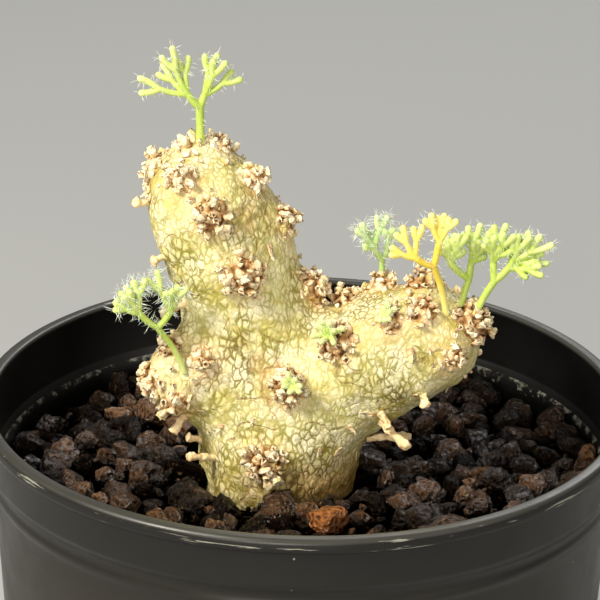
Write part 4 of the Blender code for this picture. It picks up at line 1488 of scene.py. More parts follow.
@dataclass
class Caudex:
    """The swollen stem: trunk, two fat branches, a side knob and the buried roots.

    Attributes:
        spurs: Middles of the spurs, where the bark swells.
        pegs: Middles of the dry stalks, where the bark draws out.
        cell: Size of the fine skin's cells.
        relax_steps: Smoothing steps that melt the limbs together.
        loss: What the smoothing takes off the skin, given back.
        lump_mm: Width of the stem's soft lumps.
        lump: Height of the lumps.
        crackle_mm: Width of the plates that show in the outline.
        crackle: Height of the plates.
        spur_swell: How far the bark swells under a spur, and over what radius.
        peg_swell: How far it draws out round a stalk, and over what radius.
        scar_radius: Radius of the brown scar round a spur, which is darker below the spur as painted
            shade.
    """

    spurs: Sequence[Vector]
    pegs: Sequence[Vector]
    cell: float = 0.42 * MM
    relax_steps: int = 45
    loss: float = 0.22 * MM
    lump_mm: float = 5.2
    lump: float = 0.42 * MM
    crackle_mm: float = 1.5
    crackle: float = 0.07 * MM
    spur_swell: tuple[float, float] = (0.55 * MM, 3.2 * MM)
    peg_swell: tuple[float, float] = (0.5 * MM, 1.3 * MM)
    scar_radius: float = 3.6 * MM

    def build(self, finish: Finish) -> Object:
        """Makes the stem and dresses it.

        Args:
            finish: The bark.

        Returns:
            The stem.
        """
        stem = cad_copy("caudex_bark", "caudex")
        modify(stem, "REMESH", mode="VOXEL", voxel_size=self.cell)
        modify(stem, "SMOOTH", factor=0.5, iterations=self.relax_steps)
        verts, normals = coordinates(stem), vertex_normals(stem)
        rise = np.full(len(verts), self.loss)
        scar_and_shade = np.zeros(len(verts))
        for place in self.spurs:
            away = np.linalg.norm(verts - np.array(place), axis=1)
            rise += self.spur_swell[0] * np.exp(-((away / self.spur_swell[1]) ** 2))
            # Painted shade: the scar round a spur is darker below it, where the spur shades the bark.
            below = np.clip((place.z - verts[:, 2]) / (3.0 * MM), 0.0, 1.0)
            scar_and_shade = np.maximum(scar_and_shade, np.exp(-((away / self.scar_radius) ** 4)) * (0.55 + 0.45 * below))
        for place in self.pegs:
            away = np.linalg.norm(verts - np.array(place), axis=1)
            rise += self.peg_swell[0] * np.exp(-((away / self.peg_swell[1]) ** 2))
        for index, vert in enumerate(verts):
            point = Vector(vert)
            rise[index] += self.lump * noise.fractal(point / (self.lump_mm * MM), 0.8, 2.1, 4)
            near, _ = noise.voronoi(point / (self.crackle_mm * MM))
            rise[index] += self.crackle * min((near[1] - near[0]) * 2.2, 1.0)
        set_coordinates(stem, verts + normals * rise[:, None])
        set_tone(stem, scar_and_shade)
        smooth_shade(stem)
        return present(stem, finish, ("caudex",))


@dataclass
class Spurs:
    """The short shoots: mounds crowded with broken leaf bases, some of them hollow cups.

    Attributes:
        seed: Start of the scatter.
        knobs_per_mm2: Leaf bases for each square mm of the spur's radius squared.
        fewest: Leaf bases on the smallest spur.
        core_share: Size of the core beside the CAD solid.
        strays: Leaf bases that stand on the bark round a spur.
        paler: How much paler than the rest a spur is.
        sunk: How far a spur is let into the bark.
        shapes: How many different leaf bases are modelled.
        templates: The modelled leaf bases.
    """

    seed: int = 5
    knobs_per_mm2: float = 4.6
    fewest: int = 18
    core_share: float = 0.9
    shapes: int = 14
    strays: dict[str, int] = field(default_factory=lambda: {
        "spur_crown": 26, "spur_crown_left": 22, "spur_crown_front": 12, "spur_crown_right": 12,
        "spur_low_top": 16, "spur_low_top_tip": 16, "spur_low_end": 10, "spur_knob_end": 10,
    })
    paler: dict[str, float] = field(default_factory=lambda: {
        "spur_crown": 0.34, "spur_crown_left": 0.32, "spur_crown_front": 0.22,
        "spur_crown_right": 0.32, "spur_tall_right_high": 0.28, "spur_low_top": 0.2,
    })
    sunk: dict[str, float] = field(default_factory=lambda: {"spur_crown": 1.1 * MM})
    templates: list[Template] = field(default_factory=list)

    def stub(self, profile: Sequence[tuple[float, float]], hollow: bool, seed: int) -> Template:
        """One broken leaf base from its profile, knocked out of round.

        Args:
            profile: Radius and height of each ring.
            hollow: True if the last rings go down into a cup.
            seed: Start of its unevenness.

        Returns:
            The template.
        """
        rng = np.random.default_rng(seed)
        obj = lathe("leaf_base", profile, 9)
        round_verts = coordinates(obj)
        shift = Vector(rng.uniform(-20, 20, 3))
        noise.seed_set(seed)
        knocks = np.array([noise.noise_vector(Vector(v) * 1.7 + shift) for v in round_verts])
        stretch = rng.uniform((0.5, 0.75, 0.8), (1.15, 1.3, 1.25))
        set_coordinates(obj, (round_verts + knocks * 0.46) * stretch)
        crest = max(height for _, height in profile)
        radii = np.hypot(round_verts[:, 0], round_verts[:, 1])
        # Painted shade: darker towards the foot, where neighbours shade it, and darkest at the floor of
        # a cup.
        shade = 0.02 + 0.76 * np.clip(round_verts[:, 2] / crest, 0.0, 1.0) ** 0.9
        if hollow:
            bottom = (radii < profile[-1][0] * 1.1) & (round_verts[:, 2] > 0.3)
            shade = np.where(bottom, 0.02, shade)
        return Template.from_object(obj, lambda v: shade)

    def make_templates(self) -> None:
        """Models the kinds of broken leaf base."""
        knob = ((0.36, 0.0), (0.3, 0.45), (0.4, 0.75), (0.5, 0.98), (0.42, 1.18), (0.2, 1.28))
        lump = ((0.5, 0.0), (0.56, 0.4), (0.55, 0.75), (0.36, 1.02), (0.15, 1.1))
        flare = ((0.38, 0.0), (0.34, 0.4), (0.5, 0.75), (0.56, 0.92), (0.42, 1.04), (0.18, 0.98))
        cup = ((0.42, 0.0), (0.4, 0.45), (0.52, 0.85), (0.54, 1.02), (0.4, 1.06), (0.26, 0.7))
        blunt = ((0.52, 0.0), (0.5, 0.45), (0.42, 0.8), (0.2, 0.92))
        kinds = ((knob, False), (cup, True), (flare, False), (lump, False), (cup, True), (blunt, False))
        for number in range(self.shapes):
            profile, hollow = kinds[number % len(kinds)]
            self.templates.append(self.stub(profile, hollow, self.seed * 100 + number))

    def core(self, heap: Heap, node: str, bark: BVHTree) -> tuple[np.ndarray, Vector, float]:
        """Adds a spur's lumpy core, smaller than the CAD solid.

        Args:
            heap: Where the core goes.
            node: The spur's CAD node.
            bark: The stem's surface.

        Returns:
            The core's middle, the outward direction and the spur's radius.
        """
        copy = cad_copy("core", node)
        modify(copy, "SUBSURF", levels=2, render_levels=2)
        verts = coordinates(copy)
        faces = [tuple(face.vertices) for face in copy.data.polygons]
        low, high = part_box(node)
        middle = (low + high) / 2
        seat, facing, _, _ = bark.find_nearest(middle)
        outward = middle - seat
        outward = (outward.normalized() + facing).normalized() if outward.dot(facing) > 0 else facing
        radius = float(np.median(np.linalg.norm(verts - np.array(middle), axis=1))) * 1.08
        small = np.array(middle) + (verts - np.array(middle)) * self.core_share
        small -= np.array(outward) * self.sunk.get(node, 0.0)
        bumps = np.array([noise.noise(Vector(v) / (0.8 * MM)) for v in small])
        small += (small - np.array(middle)) / radius * bumps[:, None] * 0.45 * MM
        # Painted shade: the core's dips are toned darker than its bumps.
        heap.add(small, faces, 0.3 + 0.6 * bumps)
        drop(copy)
        sunk = radius * 0.25 + self.sunk.get(node, 0.0)
        return np.array(middle - outward * sunk), outward, radius

    def knob(
        self, heap: Heap, root: np.ndarray, heading: np.ndarray, size: float, rng: np.random.Generator
    ) -> None:
        """Adds one leaf base.

        Args:
            heap: Where it goes.
            root: Where it stands.
            heading: The way it points.
            size: Its size.
            rng: Source of its shape, lean and tone.
        """
        shape = self.templates[rng.integers(len(self.templates))]
        turn = turn_to(Vector(heading + rng.normal(size=3) * 0.3), rng.uniform(0, math.tau))
        stretched = shape.verts * size * rng.uniform(0.8, 1.2, 3)
        heap.add(stretched @ turn.T + root, shape.faces, shape.tone + rng.uniform(-0.14, 0.14))

    def build(self, caudex: Object, finish: Finish) -> None:
        """Makes every spur and dresses it.

        Args:
            caudex: The stem.
            finish: The cork.
        """
        self.make_templates()
        bark = surface_of(caudex)
        nodes = sorted(name for name in frame["nodes"] if name.startswith("spur_"))
        for number, node in enumerate(nodes):
            rng = np.random.default_rng(self.seed * 1000 + number)
            heap = Heap()
            middle, outward, radius = self.core(heap, node, bark)
            facing = turn_to(outward, rng.uniform(0, math.tau))
            count = max(self.fewest, round(self.knobs_per_mm2 * (radius / MM) ** 2))
            for index in range(count):
                lean = math.acos(1.0 - (index + 0.5) / count * 1.05) + rng.uniform(-0.15, 0.15)
                bearing = index * GOLDEN_TURN + rng.uniform(-0.4, 0.4)
                heading = facing @ leaning(lean, bearing)
                size = rng.uniform(0.5, 1.3) ** 1.15 * MM
                root = middle + heading * (radius * rng.uniform(0.95, 1.08) - size * 0.75)
                self.knob(heap, root, heading, size, rng)
            for _ in range(self.strays.get(node, 0)):
                stray = Vector(middle) + Vector(facing @ rng.normal(size=3)) * radius * 1.1
                root, heading, _, _ = bark.find_nearest(stray)
                size = rng.uniform(0.5, 0.85) * MM
                self.knob(heap, np.array(root - heading * size * 0.3), np.array(heading), size, rng)
            heap.tone = [tone + self.paler.get(node, 0.13) for tone in heap.tone]
            name = f"leaf_bases_{node.removeprefix('spur_')}"
            present(heap.piece(name), finish, (node,))


@dataclass
class Flakes:
    """Papery slivers of bark that lift at one end.

    Attributes:
        count: How many slivers.
        thickness: Thickness of a sliver beside its length.
        seed: Start of the scatter.
    """

    count: int = 64
    thickness: float = 0.07
    seed: int = 21

    def sliver(self) -> Template:
        """Models one sliver of unit length, curled up towards its free end.

        Returns:
            The sliver's template.
        """
        deselect_all()
        bpy.ops.mesh.primitive_grid_add(x_subdivisions=6, y_subdivisions=3, size=1.0)
        obj = bpy.context.active_object
        bpy.ops.object.mode_set(mode="EDIT")
        bpy.ops.mesh.select_all(action="SELECT")
        bpy.ops.transform.translate(value=(0.5, 0.0, 0.0))
        bpy.ops.object.mode_set(mode="OBJECT")
        verts = coordinates(obj)
        narrow = 0.42 * (1.0 - 0.75 * verts[:, 0] ** 2)
        curl = 0.42 * verts[:, 0] ** 2 + 0.5 * (verts[:, 1] * narrow) ** 2
        set_coordinates(obj, np.stack([verts[:, 0], verts[:, 1] * narrow, curl], axis=1))
        modify(obj, "SOLIDIFY", thickness=self.thickness, offset=0.0)
        return Template.from_object(obj, lambda v: 0.5 + 0.45 * v[:, 0])

    def build(self, caudex: Object, low: float, finish: Finish) -> None:
        """Scatters the slivers over the bark above the grit.

        Args:
            caudex: The stem.
            low: Height of the grit's surface.
            finish: The slivers' finish.
        """
        rng = np.random.default_rng(self.seed)
        shape = self.sliver()
        verts, normals = coordinates(caudex), vertex_normals(caudex)
        bare = np.flatnonzero((verts[:, 2] > low + 1.5 * MM) & (normals[:, 2] < 0.45))
        heap = Heap()
        for index in rng.choice(bare, size=self.count, replace=False):
            normal = Vector(normals[index])
            along = normal.cross(Vector(rng.normal(size=3))).normalized()
            turn = np.array(Matrix((along, normal.cross(along), normal)).transposed())
            length = rng.uniform(0.8, 2.4) * MM
            size = np.array((length, length * rng.uniform(0.7, 1.3), length * rng.uniform(0.5, 1.1)))
            root = verts[index] + normals[index] * 0.02 * MM
            heap.add((shape.verts * size) @ turn.T + root, shape.faces, shape.tone)
        present(heap.piece("bark_flakes"), finish, ("caudex",))


@dataclass
class Stalks:
    """The dry leaf stalks that stick out of the bark.

    Attributes:
        cell: Size of the fine skin's cells.
        blunt: Stalks that are about as thick all along.
        stations: Places along a stalk where its girth is taken.
    """

    cell: float = 0.16 * MM
    blunt: tuple[str, ...] = (
        "peg_foot_left", "peg_foot_left_front", "peg_foot_front", "peg_knob_under",
        "peg_low_middle",
    )
    stations: int = 8

    def evened(self, verts: np.ndarray) -> np.ndarray:
        """Brings a stalk's neck and head to about one thickness.

        Args:
            verts: The stalk's vertices.

        Returns:
            The vertices moved towards or away from the stalk's axis.
        """
        middle = verts.mean(axis=0)
        axis = np.linalg.svd(verts - middle, full_matrices=False)[2][0]
        along = (verts - middle) @ axis
        aside = verts - middle - along[:, None] * axis
        away = np.linalg.norm(aside, axis=1)
        edges = np.linspace(along.min(), along.max(), self.stations + 1)
        bins = np.clip(np.digitize(along, edges) - 1, 0, self.stations - 1)
        girth = np.array([away[bins == index].mean() for index in range(self.stations)])
        middles = (edges[:-1] + edges[1:]) / 2
        wanted = np.clip(np.median(girth) * 1.08 / np.interp(along, middles, girth), 0.7, 1.5)
        ends = (np.abs(along) / np.abs(along).max()) ** 6
        ratio = wanted * (1 - ends) + np.minimum(wanted, 1) * ends
        return middle + along[:, None] * axis + aside * ratio[:, None]

    def build(self, finish: Finish) -> None:
        """Makes every dry stalk and dresses it.

        Args:
            finish: The dry fibre.
        """
        for node in sorted(name for name in frame["nodes"] if name.startswith("peg_")):
            stalk = cad_copy(f"dry_{node}", node)
            modify(stalk, "REMESH", mode="VOXEL", voxel_size=self.cell)
            modify(stalk, "SMOOTH", factor=0.5, iterations=6)
            verts, normals = coordinates(stalk), vertex_normals(stalk)
            rise = np.array([
                noise.noise(Vector(v) / (1.1 * MM)) + 0.5 * noise.noise(Vector(v) / (0.5 * MM)) - 0.2
                for v in verts
            ]) * 0.3 * MM
            if node in self.blunt:
                verts = self.evened(verts)
            set_coordinates(stalk, verts + normals * rise[:, None])
            smooth_shade(stalk)
            present(stalk, finish, (node,))


class LeafKind(Enum):
    """The leaf colours on the plant, each with the record's slot that it belongs to."""

    GREEN = "green_leaf"
    BLUE_GREEN = "blue_green_leaf"
    YELLOW = "yellow_leaf"
    NEW = "new_leaf"

    def finish(self) -> LeafFinish:
        """Picks the finish that goes with this colour.

        Returns:
            The leaf's finish.
        """
        return {
            LeafKind.GREEN: LeafFinish(),
            LeafKind.BLUE_GREEN: LeafFinish(
                "downy_leaf_skin", seam_shade="93ae58", base="abc870", middle="b6d286", tip="d2e5ac"
            ),
            LeafKind.YELLOW: LeafFinish(
                "ageing_leaf_skin", seam_shade="dd9a26", base="e8c848", middle="f1d855", tip="f8ec94"
            ),
            LeafKind.NEW: LeafFinish(
                "new_leaf_skin", seam_shade="8ea23c", base="b0c45a", middle="c3d272", tip="dfe7a6"
            ),
        }[self]


Offset = tuple[float, float, float]


@dataclass(frozen=True)
class LeafPlan:
    """One leaf's skeleton, in mm.

    Attributes:
        node: The CAD node it stands for.
        kind: Its colour.
        stalk: Where the stalk forks, from its foot.
        side_lobes: Lobes on the sides of each frond.
        arms: For each arm, where it divides and then its fronds' tips, all from the fork.
        hairs: How many hairs it carries.
        hair_mm: Length of the longest hairs.
        girth: Radius of its stalk.
        lowered: How far it sits below the top of the CAD node.
    """

    node: str
    kind: LeafKind
    stalk: Offset
    side_lobes: int
    arms: tuple[tuple[Offset, ...], ...]
    hairs: int
    hair_mm: float
    girth: float
    lowered: float = 0.0


LEAF_PLANS = (
    LeafPlan(
        "leaf_crown", LeafKind.GREEN, (-0.2, 0.0, 6.1), 0,
        (
            (
                (-1.7, -0.4, 1.9), (-8.3, -1.2, 3.3), (-4.6, -0.4, 8.0), (-5.6, 1.4, 4.9),
                (-2.3, 1.0, 6.6),
            ),
            ((0.6, 0.4, 1.6), (1.5, 0.6, 7.4), (2.7, -0.6, 6.9), (5.1, 0.4, 4.6)),
        ),
        280, 1.2, 0.56, 0.9,
    ),
    LeafPlan(
        "leaf_knob", LeafKind.GREEN, (-3.6, -1.2, 6.0), 0,
        (
            (
                (-2.5, -0.5, 2.3), (-5.9, -1.2, 3.6), (-5.4, 0.5, 4.4), (-4.2, -1.4, 5.6),
                (-3.9, 0.8, 6.2), (-2.4, -0.4, 7.2),
            ),
            ((1.8, 0.3, 2.4), (-0.9, 0.6, 7.6), (1.5, -0.9, 5.8), (3.4, -0.6, 6.4)),
        ),
        560, 1.6, 0.40,
    ),
    LeafPlan(
        "leaf_low_inner", LeafKind.BLUE_GREEN, (-0.2, 0.0, 2.9), 0,
        (
            ((-1.1, -0.4, 1.7), (-3.3, -0.4, 4.9), (-2.5, -1.2, 2.2), (-1.5, 1.0, 3.6), (0.0, 0.0, 6.4)),
            ((0.8, 0.5, 1.0), (0.9, -0.8, 4.7), (2.0, 0.9, 4.2)),
        ),
        460, 1.4, 0.40,
    ),
    LeafPlan(
        "leaf_yellow", LeafKind.YELLOW, (-1.9, -1.2, 6.3), 0,
        (
            ((-2.6, -0.8, 1.5), (-2.3, 0.4, 5.7), (-4.9, -0.4, 5.4), (-6.0, -1.4, 2.7)),
            ((0.6, 0.0, 3.6), (-1.1, -0.2, 7.3), (0.7, 0.5, 7.3), (2.4, 0.1, 6.9)),
        ),
        150, 1.2, 0.43,
    ),
    LeafPlan(
        "leaf_low_middle", LeafKind.GREEN, (1.3, 1.0, 4.4), 2,
        (
            ((-2.6, -0.6, 2.4), (-3.4, -0.4, 5.0), (-2.6, 1.0, 6.0), (-1.0, 0.2, 6.3)),
            ((0.2, 0.4, 1.8), (0.5, 0.8, 7.6), (1.9, -0.4, 5.6), (2.2, 1.0, 7.0)),
        ),
        260, 1.0, 0.45,
    ),
    LeafPlan(
        "leaf_low_end", LeafKind.GREEN, (2.6, 0.2, 4.9), 2,
        (
            ((-0.2, 0.4, 2.6), (-0.8, -0.6, 6.6), (0.6, 0.8, 8.0), (1.8, -0.6, 7.2)),
            (
                (2.0, 0.2, 2.0), (2.8, 1.2, 6.0), (3.8, -0.6, 7.0), (5.4, 0.8, 6.8),
                (7.0, -0.4, 6.4), (7.0, 0.8, 3.2), (6.4, -1.2, 2.1),
            ),
        ),
        330, 1.0, 0.47,
    ),
)


@dataclass
class Foliage:
    """The finely cut leaves with their hairs, and the folded new leaves.

    Attributes:
        lobe_radius: Half the thickness of a leaf's lobes.
        tip_swell: Radius of a lobe's tip as a share of lobe_radius.
        cell: Size of the cells that grow the lobes into one skin.
        hair_radius: Radius of a hair's foot. Real hairs are about half as thick and would not show.
        seed: Start of the scatter.
        folded: New leaves in a sprout.
        sprout_hairs: Hairs on a sprout.
        sprout_hair_mm: Length of its longest hairs.
        lobe_shape: The modelled lobe, of unit radius and length.
        hair_shape: The modelled hair, of unit radius and length.
    """

    lobe_radius: float = 0.46 * MM
    tip_swell: float = 0.98
    cell: float = 0.12 * MM
    hair_radius: float = 0.043 * MM
    seed: int = 3
    folded: int = 8
    sprout_hairs: int = 70
    sprout_hair_mm: float = 0.7
    lobe_shape: Template = field(init=False)
    hair_shape: Template = field(init=False)

    def __post_init__(self) -> None:
        """Models one lobe and one hair for all the leaves."""
        rounded = [(math.cos(a), -math.sin(a)) for a in np.radians((70, 35))]
        body = [(1.0, height) for height in np.linspace(0.0, 1.0, 6)]
        tip = [(math.cos(a), 1.0 + math.sin(a)) for a in np.radians((25, 50, 72))]
        self.lobe_shape = Template.from_object(
            lathe("lobe", rounded + body + tip, 10), lambda v: np.zeros(len(v))
        )
        self.hair_shape = Template.from_object(
            lathe("hair", ((1.0, -0.1), (0.85, 0.45), (0.12, 1.0)), 3), lambda v: np.zeros(len(v))
        )

    def lobe(
        self, heap: Heap, start: Vector, end: Vector, radii: tuple[float, float], bow: Vector
    ) -> None:
        """Adds one round lobe on a bowed line.

        Args:
            heap: Where it goes.
            start: Its foot.
            end: Its tip.
            radii: Radius at the foot and at the tip.
            bow: How far its middle is drawn aside.
        """
        axis = end - start
        turn = turn_to(axis.normalized(), 0.0)
        height = self.lobe_shape.verts[:, 2]
        along = np.clip(height, 0.0, 1.0)
        radius = radii[0] + (radii[1] - radii[0]) * along ** 1.5
        beyond = (height - along) * radius
        local = np.stack([
            self.lobe_shape.verts[:, 0] * radius,
            self.lobe_shape.verts[:, 1] * radius,
            along * (axis.length - radii[1] * 0.6) + beyond,
        ], axis=1)
        bent = 4.0 * along * (1.0 - along)
        verts = local @ turn.T + np.array(start) + bent[:, None] * np.array(bow)
        heap.add(verts, self.lobe_shape.faces, np.zeros(len(verts)))

    def frond(self, heap: Heap, start: Vector, tip: Vector, side_lobes: int, facing: Vector) -> None:
        """Adds a rib with side lobes and a tip that divides in two.

        Args:
            heap: Where it goes.
            start: Where it leaves its arm.
            tip: Where it ends.
            side_lobes: How many lobes it has below the tip's two.
            facing: The way that the leaf faces.
        """
        rib = tip - start
        length = rib.length
        across = rib.cross(facing).normalized()
        divide = start + rib * 0.55
        thin, thick = self.lobe_radius * 0.82, self.lobe_radius
        lift = Vector((0.0, 0.0, 1.0)) * length * 0.03
        self.lobe(heap, start, divide, (thin, thin), -lift)
        for hand in (-1, 1):
            reach = 0.46 if hand > 0 else 0.38
            end = divide + rib * reach + across * hand * length * 0.15
            self.lobe(heap, divide, end, (thin, thick * self.tip_swell), across * hand * length * 0.02)
        for index in range(side_lobes):
            hand = 1 if index % 2 else -1
            root = start + rib * (0.42 - 0.2 * index)
            end = root + rib * 0.32 + across * hand * length * 0.27
            self.lobe(heap, root, end, (thin, thick * self.tip_swell), across * hand * length * 0.03)

    def skeleton(self, plan: LeafPlan) -> Object:
        """Gathers a leaf's stalk, arms and fronds, with its fork at the origin.

        Args:
            plan: The leaf's plan.

        Returns:
            The gathered lobes.
        """
        heap = Heap()
        fork = Vector((0.0, 0.0, 0.0))
        foot = fork - Vector(plan.stalk) * MM
        facing = Vector((0.0, -1.0, 0.25)).normalized()
        bow = Vector((foot.x, foot.y, 0.0)) * 0.12
        root = foot - Vector((0.0, 0.0, 1.0)) * MM
        girth = plan.girth * MM
        self.lobe(heap, root, fork, (girth * 0.95, girth), bow)
        for division, *tips in plan.arms:
            parting = Vector(division) * MM
            lean = Vector((0.0, 0.0, -1.0)) * parting.length * 0.06
            self.lobe(heap, fork, parting, (girth * 0.95, self.lobe_radius), lean)
            for tip in tips:
                self.frond(heap, parting, Vector(tip) * MM, plan.side_lobes, facing)
        return heap.piece(f"{plan.node}_skin")

    def grow(self, leaf: Object, reach: float, middle: Vector) -> None:
        """Grows a leaf's lobes into one skin and tones it.

        Args:
            leaf: The gathered lobes.
            reach: Distance from the fork to the farthest tip.
            middle: Where the fork is.
        """
        modify(leaf, "REMESH", mode="VOXEL", voxel_size=self.cell)
        before, normals = coordinates(leaf), vertex_normals(leaf)
        modify(leaf, "SMOOTH", factor=0.5, iterations=4)
        after = coordinates(leaf)
        # Painted shade: where smoothing pulls the skin in, between lobes, the tone drops towards the
        # crease colour.
        shaded_crease = np.clip(((after - before) * normals).sum(axis=1) / (0.03 * MM) + 0.2, 0.0, 1.0)
        set_coordinates(leaf, after + vertex_normals(leaf) * 0.05 * MM)
        away = np.linalg.norm(after - np.array(middle), axis=1) / reach
        for old in [item for item in leaf.data.attributes if item.name == "tone"]:
            leaf.data.attributes.remove(old)
        set_tone(leaf, np.clip(0.28 + 0.67 * away - 0.6 * shaded_crease, 0.0, 1.0))
        smooth_shade(leaf)

    def hair(self, leaf: Object, name: str, count: int, length_mm: float, seed: int) -> Object:
        """Sets hairs over a leaf.

        Args:
            leaf: The leaf's skin.
            name: Name of the piece.
            count: How many hairs.
            length_mm: Length of the longest.
            seed: Start of the scatter.

        Returns:
            The hairs as one piece.
        """
        rng = np.random.default_rng(self.seed * 100 + seed)
        verts, normals = coordinates(leaf), vertex_normals(leaf)
        crest, foot = verts[:, 2].max(), verts[:, 2].min()
        share = np.clip((verts[:, 2] - foot) / (crest - foot) - 0.25, 0.02, 1.0)
        picked = rng.choice(len(verts), size=count, replace=False, p=share / share.sum())
        heap = Heap()
        for index in picked:
            heading = Vector(normals[index] + rng.normal(size=3) * 0.28 + (0.0, 0.0, -0.05))
            length = rng.uniform(0.55, 1.0) * length_mm * MM
            turn = turn_to(heading.normalized(), rng.uniform(0, math.tau))
            local = self.hair_shape.verts * (self.hair_radius, self.hair_radius, length)
            local[:, 0] += (self.hair_shape.verts[:, 2] ** 2) * length * 0.12
            placed = local @ turn.T + verts[index]
            heap.add(placed, self.hair_shape.faces, np.zeros(len(placed)))
        return heap.piece(name)

    def build_leaf(self, plan: LeafPlan, number: int, hairs: HairFinish) -> None:
        """Makes one leaf with its hairs and dresses both.

        Args:
            plan: The leaf's plan.
            number: Start of the hairs' scatter.
            hairs: Finish of its hairs.
        """
        leaf = self.skeleton(plan)
        verts = coordinates(leaf)
        low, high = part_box(plan.node)
        middle = (verts.max(axis=0) + verts.min(axis=0)) / 2
        shift = np.array((
            (low.x + high.x) / 2 - middle[0], (low.y + high.y) / 2 - middle[1],
            high.z - verts[:, 2].max() - plan.lowered * MM,
        ))
        set_coordinates(leaf, verts + shift)
        reach = max(Vector(tip).length for arm in plan.arms for tip in arm) * MM
        self.grow(leaf, reach, Vector(shift))
        present(leaf, plan.kind.finish(), (plan.node,))
        hair = self.hair(leaf, f"{plan.node}_hairs", plan.hairs, plan.hair_mm, number)
        present(hair, hairs, (plan.node,))

    def build_sprout(self, node: str, bark: BVHTree, number: int, hairs: HairFinish) -> None:
        """Makes one tuft of folded new leaves and dresses it.

        Args:
            node: The sprout's CAD node.
            bark: The stem's surface.
            number: Start of the tuft's unevenness.
            hairs: Finish of its hairs.
        """
        rng = np.random.default_rng(self.seed * 10 + number)
        low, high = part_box(node)
        middle = (low + high) / 2
        reach = (high - low).length / 2
        outward = (middle - bark.find_nearest(middle)[0]).normalized()
        facing = turn_to(outward, rng.uniform(0, math.tau))
        heap = Heap()
        root = middle - outward * reach * 0.9
        for index in range(self.folded):
            bearing = index * math.tau / self.folded + rng.uniform(-0.3, 0.3)
            lean = rng.uniform(0.35, 1.0)
            heading = Vector(facing @ leaning(lean, bearing))
            end = root + heading * reach * rng.uniform(1.15, 1.6)
            self.lobe(heap, root, end, (0.3 * MM, 0.4 * MM), outward * 0.25 * MM)
        tuft = heap.piece(f"{node}_skin")
        self.grow(tuft, reach * 1.6, Vector(root))
        present(tuft, LeafKind.NEW.finish(), (node,))
        name = f"{node}_hairs"
        down = self.hair(tuft, name, self.sprout_hairs, self.sprout_hair_mm, 50 + number)
        present(down, hairs, (node,))

    def build(self, caudex: Object) -> None:
        """Makes every leaf and sprout.

        Args:
            caudex: The stem, which the sprouts turn away from.
        """
        hairs = HairFinish()
        for number, plan in enumerate(LEAF_PLANS):
            self.build_leaf(plan, number, hairs)
        bark = surface_of(caudex)
        sprouts = sorted(name for name in frame["nodes"] if name.startswith("sprout_"))
        for number, node in enumerate(sprouts):
            self.build_sprout(node, bark, number, hairs)


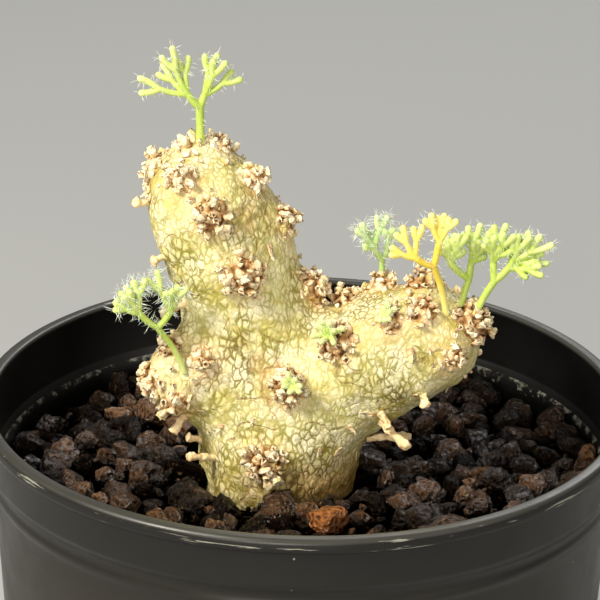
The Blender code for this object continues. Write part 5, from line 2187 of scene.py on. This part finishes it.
@dataclass
class Studio:
    """Pale floor and world, soft lights and the camera.

    Attributes:
        target: What the lights and the camera face: the middle of the pot's rim.
        distance: From the camera to the target.
        elevation: The camera's height angle, in degrees.
        roll: The camera's turn about its own axis, in degrees.
        aim_up: How far above the target the camera aims, in degrees.
        aim_side: How far to the right of the target it aims, in degrees.
        lens: Focal length of the camera, in mm.
        sensor: Width of its sensor, in mm.
        floor_size: Side of the floor.
    """

    target: Vector
    distance: float = 0.5
    elevation: float = 23.99
    roll: float = 1.12
    aim_up: float = 1.538
    aim_side: float = -0.097
    lens: float = 216.7
    sensor: float = 36.0
    floor_size: float = 12.0

    def lamp(self, name: str, place: Offset, size: float, watts: float, colour: str) -> None:
        """Adds a square soft light that faces the target.

        Args:
            name: The lamp's name.
            place: Where it is, from the target, in metres.
            size: Side of the square.
            watts: Its power.
            colour: Its colour.
        """
        data = bpy.data.lights.new(name, "AREA")
        data.size = size
        data.energy = watts
        data.color = linear(colour)[:3]
        lamp = bpy.data.objects.new(name, data)
        bpy.context.scene.collection.objects.link(lamp)
        lamp.location = self.target + Vector(place)
        lamp.rotation_euler = (-Vector(place)).to_track_quat("-Z", "Y").to_euler()

    def floor(self) -> None:
        """Lays the pale floor."""
        deselect_all()
        bpy.ops.mesh.primitive_grid_add(x_subdivisions=8, y_subdivisions=8, size=self.floor_size)
        floor = bpy.context.active_object
        floor.name = "floor"
        floor.data.materials.append(FloorFinish().material())

    def world(self) -> None:
        """Sets the pale surroundings."""
        world = bpy.data.worlds.new("pale_room")
        bpy.context.scene.world = world
        world.use_nodes = True
        sky = world.node_tree.nodes["Background"]
        sky.inputs["Color"].default_value = linear("e6e2da")
        sky.inputs["Strength"].default_value = 0.21
        # The default transform drains the plant's yellows and greens.
        bpy.context.scene.view_settings.view_transform = "Standard"

    def camera(self) -> None:
        """Sets the camera at its place and turns it."""
        rise = math.radians(self.elevation)
        forward = Vector((0.0, math.cos(rise), -math.sin(rise)))
        right = Vector((1.0, 0.0, 0.0))
        up = right.cross(forward)
        aim = forward + right * math.tan(math.radians(self.aim_side))
        aim = (aim + up * math.tan(math.radians(self.aim_up))).normalized()
        turn = math.radians(self.roll)
        across = right * math.cos(turn) + up * math.sin(turn)
        across = (across - aim * across.dot(aim)).normalized()
        upright = (-aim).cross(across)
        data = bpy.data.cameras.new("camera")
        data.lens = self.lens
        data.sensor_width = self.sensor
        camera = bpy.data.objects.new("camera", data)
        bpy.context.scene.collection.objects.link(camera)
        turned = Matrix((across, upright, -aim)).transposed().to_4x4()
        turned.translation = self.target - forward * self.distance
        camera.matrix_world = turned
        bpy.context.scene.camera = camera

    def build(self) -> None:
        """Sets up the whole studio."""
        self.floor()
        self.world()
        self.camera()
        self.lamp("key", (-0.48, -0.36, 0.58), 0.2, 9.5, "fff8ea")
        self.lamp("fill", (0.60, -0.50, 0.30), 0.60, 1.5, "fff8ee")
        self.lamp("front", (-0.12, -0.75, 0.20), 0.30, 3.0, "fff8ec")
        self.lamp("rim", (0.20, 0.60, 0.50), 0.40, 2.5, "ffffff")


def main() -> None:
    """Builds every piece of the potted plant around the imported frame."""
    logging.basicConfig(level=logging.INFO, format="%(name)s: %(message)s")
    grit_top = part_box("grit_bed")[1].z
    pot = Pot()
    pot.build(PlasticFinish(grit_height=grit_top, rim_radius=pot.rim_radius, rim_height=pot.height))
    spur_places = [node_middle(name) for name in frame["nodes"] if name.startswith("spur_")]
    peg_places = [node_middle(name) for name in frame["nodes"] if name.startswith("peg_")]
    caudex = Caudex(spur_places, peg_places).build(BarkFinish(grit_height=grit_top))
    Spurs().build(caudex, CorkFinish())
    Flakes().build(caudex, grit_top, CorkFinish())
    Stalks().build(StalkFinish())
    Foliage().build(caudex)
    GritBed(pot, grit_top).build(caudex, GritFinish())
    Studio(Vector((0.0, 0.0, pot.height))).build()
    deselect_all()


if __name__ == "__main__":
    main()
